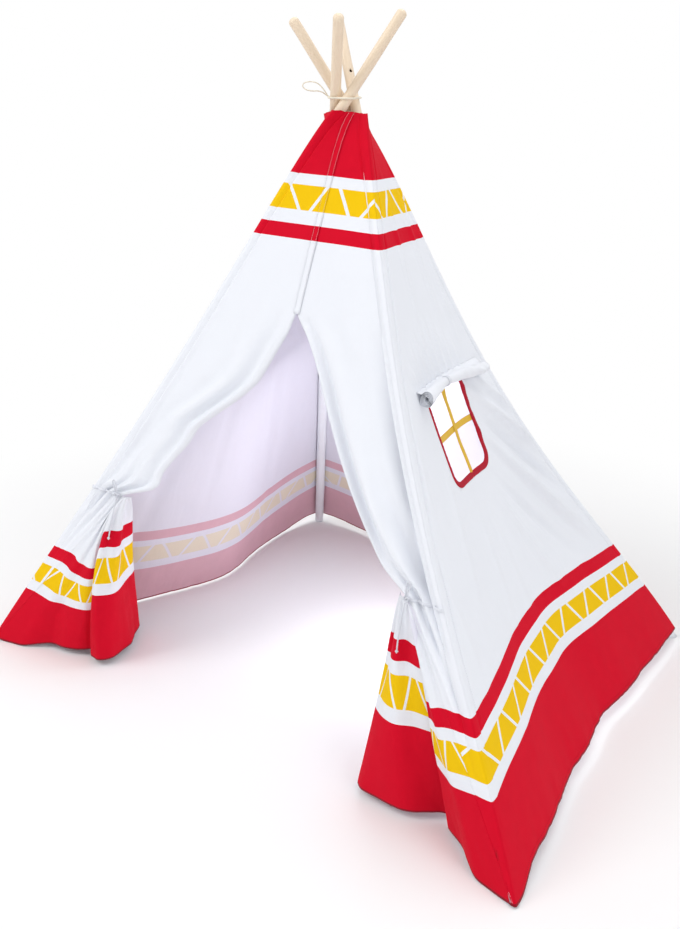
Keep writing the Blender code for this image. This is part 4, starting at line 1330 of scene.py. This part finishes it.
def build_flap():
    """Window flap, rolled up and held by its strap."""
    turns, back = 36 * FLAP_TURNS, 4
    across = [FLAP_OFFSET + x for x in steps(90, -FLAP_WIDTH / 2, FLAP_WIDTH / 2)]

    def rolled(x, share):
        angle = FLAP_LEAVES_AT - tau * FLAP_TURNS * (1 - share)
        radius = roll_radius(x, angle, share)
        return Vector((FLAP_MIDDLE - roll_droop(x) + radius * sin(angle), FLAP_STAND + radius * cos(angle)))

    spots = [[rolled(x, share) for x in across] for share in steps(turns)]
    seam = Vector((FLAP_SEAM, CLOTH + 0.0006))
    spots += [[last.lerp(seam, k / back) for last in spots[-1]] for k in range(1, back + 1)]
    rows = [[window_point(x, *spot, gathered=False) for x, spot in zip(across, row)] for row in spots]
    heights = [0.0017 * j for j in range(turns + 1)] + [0.0017 * turns + 0.002 * k for k in range(1, back + 1)]
    uvs = [[(0.0034 * i, height) for i in range(len(across))] for height in heights]
    made = cloth("window_roll", rows, uvs, "window_flap", ("cotton_white",), "window_flap", thickness=FLAP_CLOTH)

    rows = []
    for share in steps(44):
        angle = pi * (0.56 - 1.42 * share)
        row = []
        for wide in steps(6, -0.5, 0.5):
            x = FLAP_TIE_OFFSET + wide * FLAP_TIE_WIDTH + 0.009 * (share - 0.5)
            radius = roll_radius(x, angle, 1) + 0.0011 + 0.0003 * cos(pi * wide)
            row.append(window_point(x, FLAP_MIDDLE + radius * sin(angle), FLAP_STAND + radius * cos(angle), False))
        rows.append(row)
    uvs = [[(0.0017 * i, 0.001 * j) for i in range(7)] for j in range(45)]
    made = cloth("window_strap", rows, uvs, "window_flap", ("tape_white",), "window_flap_strap", thickness=FLAP_CLOTH)


# Own meshes: each piece that rides a wall, a door tail or the window flap gets its mesh data to itself.

FOLDED_WITH = {"tail_left": "front", "tail_right": "front", "window_flap": "right"}


def crumple():
    for made, body in PIECES:
        wall = FOLDED_WITH.get(body, body.removeprefix("wall_"))
        if wall in WALLS:
            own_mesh(made)


# Stage.

BACKDROP = (1, 1, 1, 1)
WORLD_STRENGTH = 0.62
FLOOR_COLOR = (0.87, 0.87, 0.88, 1)
FLOOR_SIZE = 7
FLOOR_FADE = {"From Min": 0.75, "From Max": 1.7}

# Lamps: name, place, target, size and power.
LAMPS = (
    ("key", (-1.6, -2.6, 3.0), (0, 0, 0.5), 2.2, 57),
    ("fill", (3.2, -1.2, 2.0), (0, 0, 0.5), 2.4, 30),
    ("top", (0.2, 0.8, 3.6), (0, 0, 0.3), 2.6, 34),
    ("inside_down", (0.0, 0.0, 0.64), (0.02, 0.22, 0.0), 0.28, 0.95),
)
INSIDE_LAMP = {"place": (0.06, 0.02, 0.21), "power": 1.9, "shadow_soft_size": 0.14}


def lamp(name, kind, place, power, **values):
    data = bpy.data.lights.new(name, kind)
    data.energy = power
    for key, value in values.items():
        setattr(data, key, value)
    made = bpy.data.objects.new(name, data)
    bpy.context.scene.collection.objects.link(made)
    made.location = place
    made.visible_camera = False
    return made


def build_stage():
    scene = bpy.context.scene
    scene.view_settings.view_transform = "Standard"
    scene.world = bpy.data.worlds.new("studio")
    world = Nodes(scene.world, "Background")
    world.set(Color=BACKDROP, Strength=WORLD_STRENGTH)
    rays = world.add("ShaderNodeLightPath").outputs
    seen = world.math("MAXIMUM", rays["Is Camera Ray"], rays["Is Glossy Ray"])
    world.blend(seen, world.shader, world.add("ShaderNodeBackground", Color=BACKDROP), "World Output")

    form = bmesh.new()
    bmesh.ops.create_grid(form, x_segments=24, y_segments=24, size=FLOOR_SIZE)
    mesh = bpy.data.meshes.new("floor")
    form.to_mesh(mesh)
    form.free()
    floor = bpy.data.objects.new("floor", mesh)
    scene.collection.objects.link(floor)
    nodes = Nodes(bpy.data.materials.new("studio_floor"))
    nodes.set(Base_Color=FLOOR_COLOR, Roughness=0.9)
    away = nodes.add("ShaderNodeVectorMath", nodes.on_object(), operation="LENGTH").outputs["Value"]
    far = nodes.add("ShaderNodeMapRange", interpolation_type="SMOOTHSTEP", Value=away, **FLOOR_FADE).outputs[0]
    seen = nodes.times(far, nodes.add("ShaderNodeLightPath").outputs["Is Camera Ray"])
    nodes.blend(seen, nodes.shader, nodes.add("ShaderNodeEmission", Strength=1.0), "Material Output")
    mesh.materials.append(nodes.owner)

    for name, place, target, size, power in LAMPS:
        made = lamp(name, "AREA", place, power, shape="DISK", size=size)
        made.rotation_euler = (Vector(target) - Vector(place)).to_track_quat("-Z", "Y").to_euler()
    lamp("inside", "POINT", **INSIDE_LAMP)


def main():
    make_camera()
    build_lashing()
    build_ties()
    for wall in ("right", "back", "left"):
        build_wall(wall)
    for name in SIDES:
        build_door(name)
        build_tail(name)
    build_placket()
    build_seams()
    for index, corner in enumerate(CORNERS):
        build_sleeve(corner)
        build_pole_top(corner, index)
    build_window()
    build_flap()
    crumple()
    build_stage()


main()
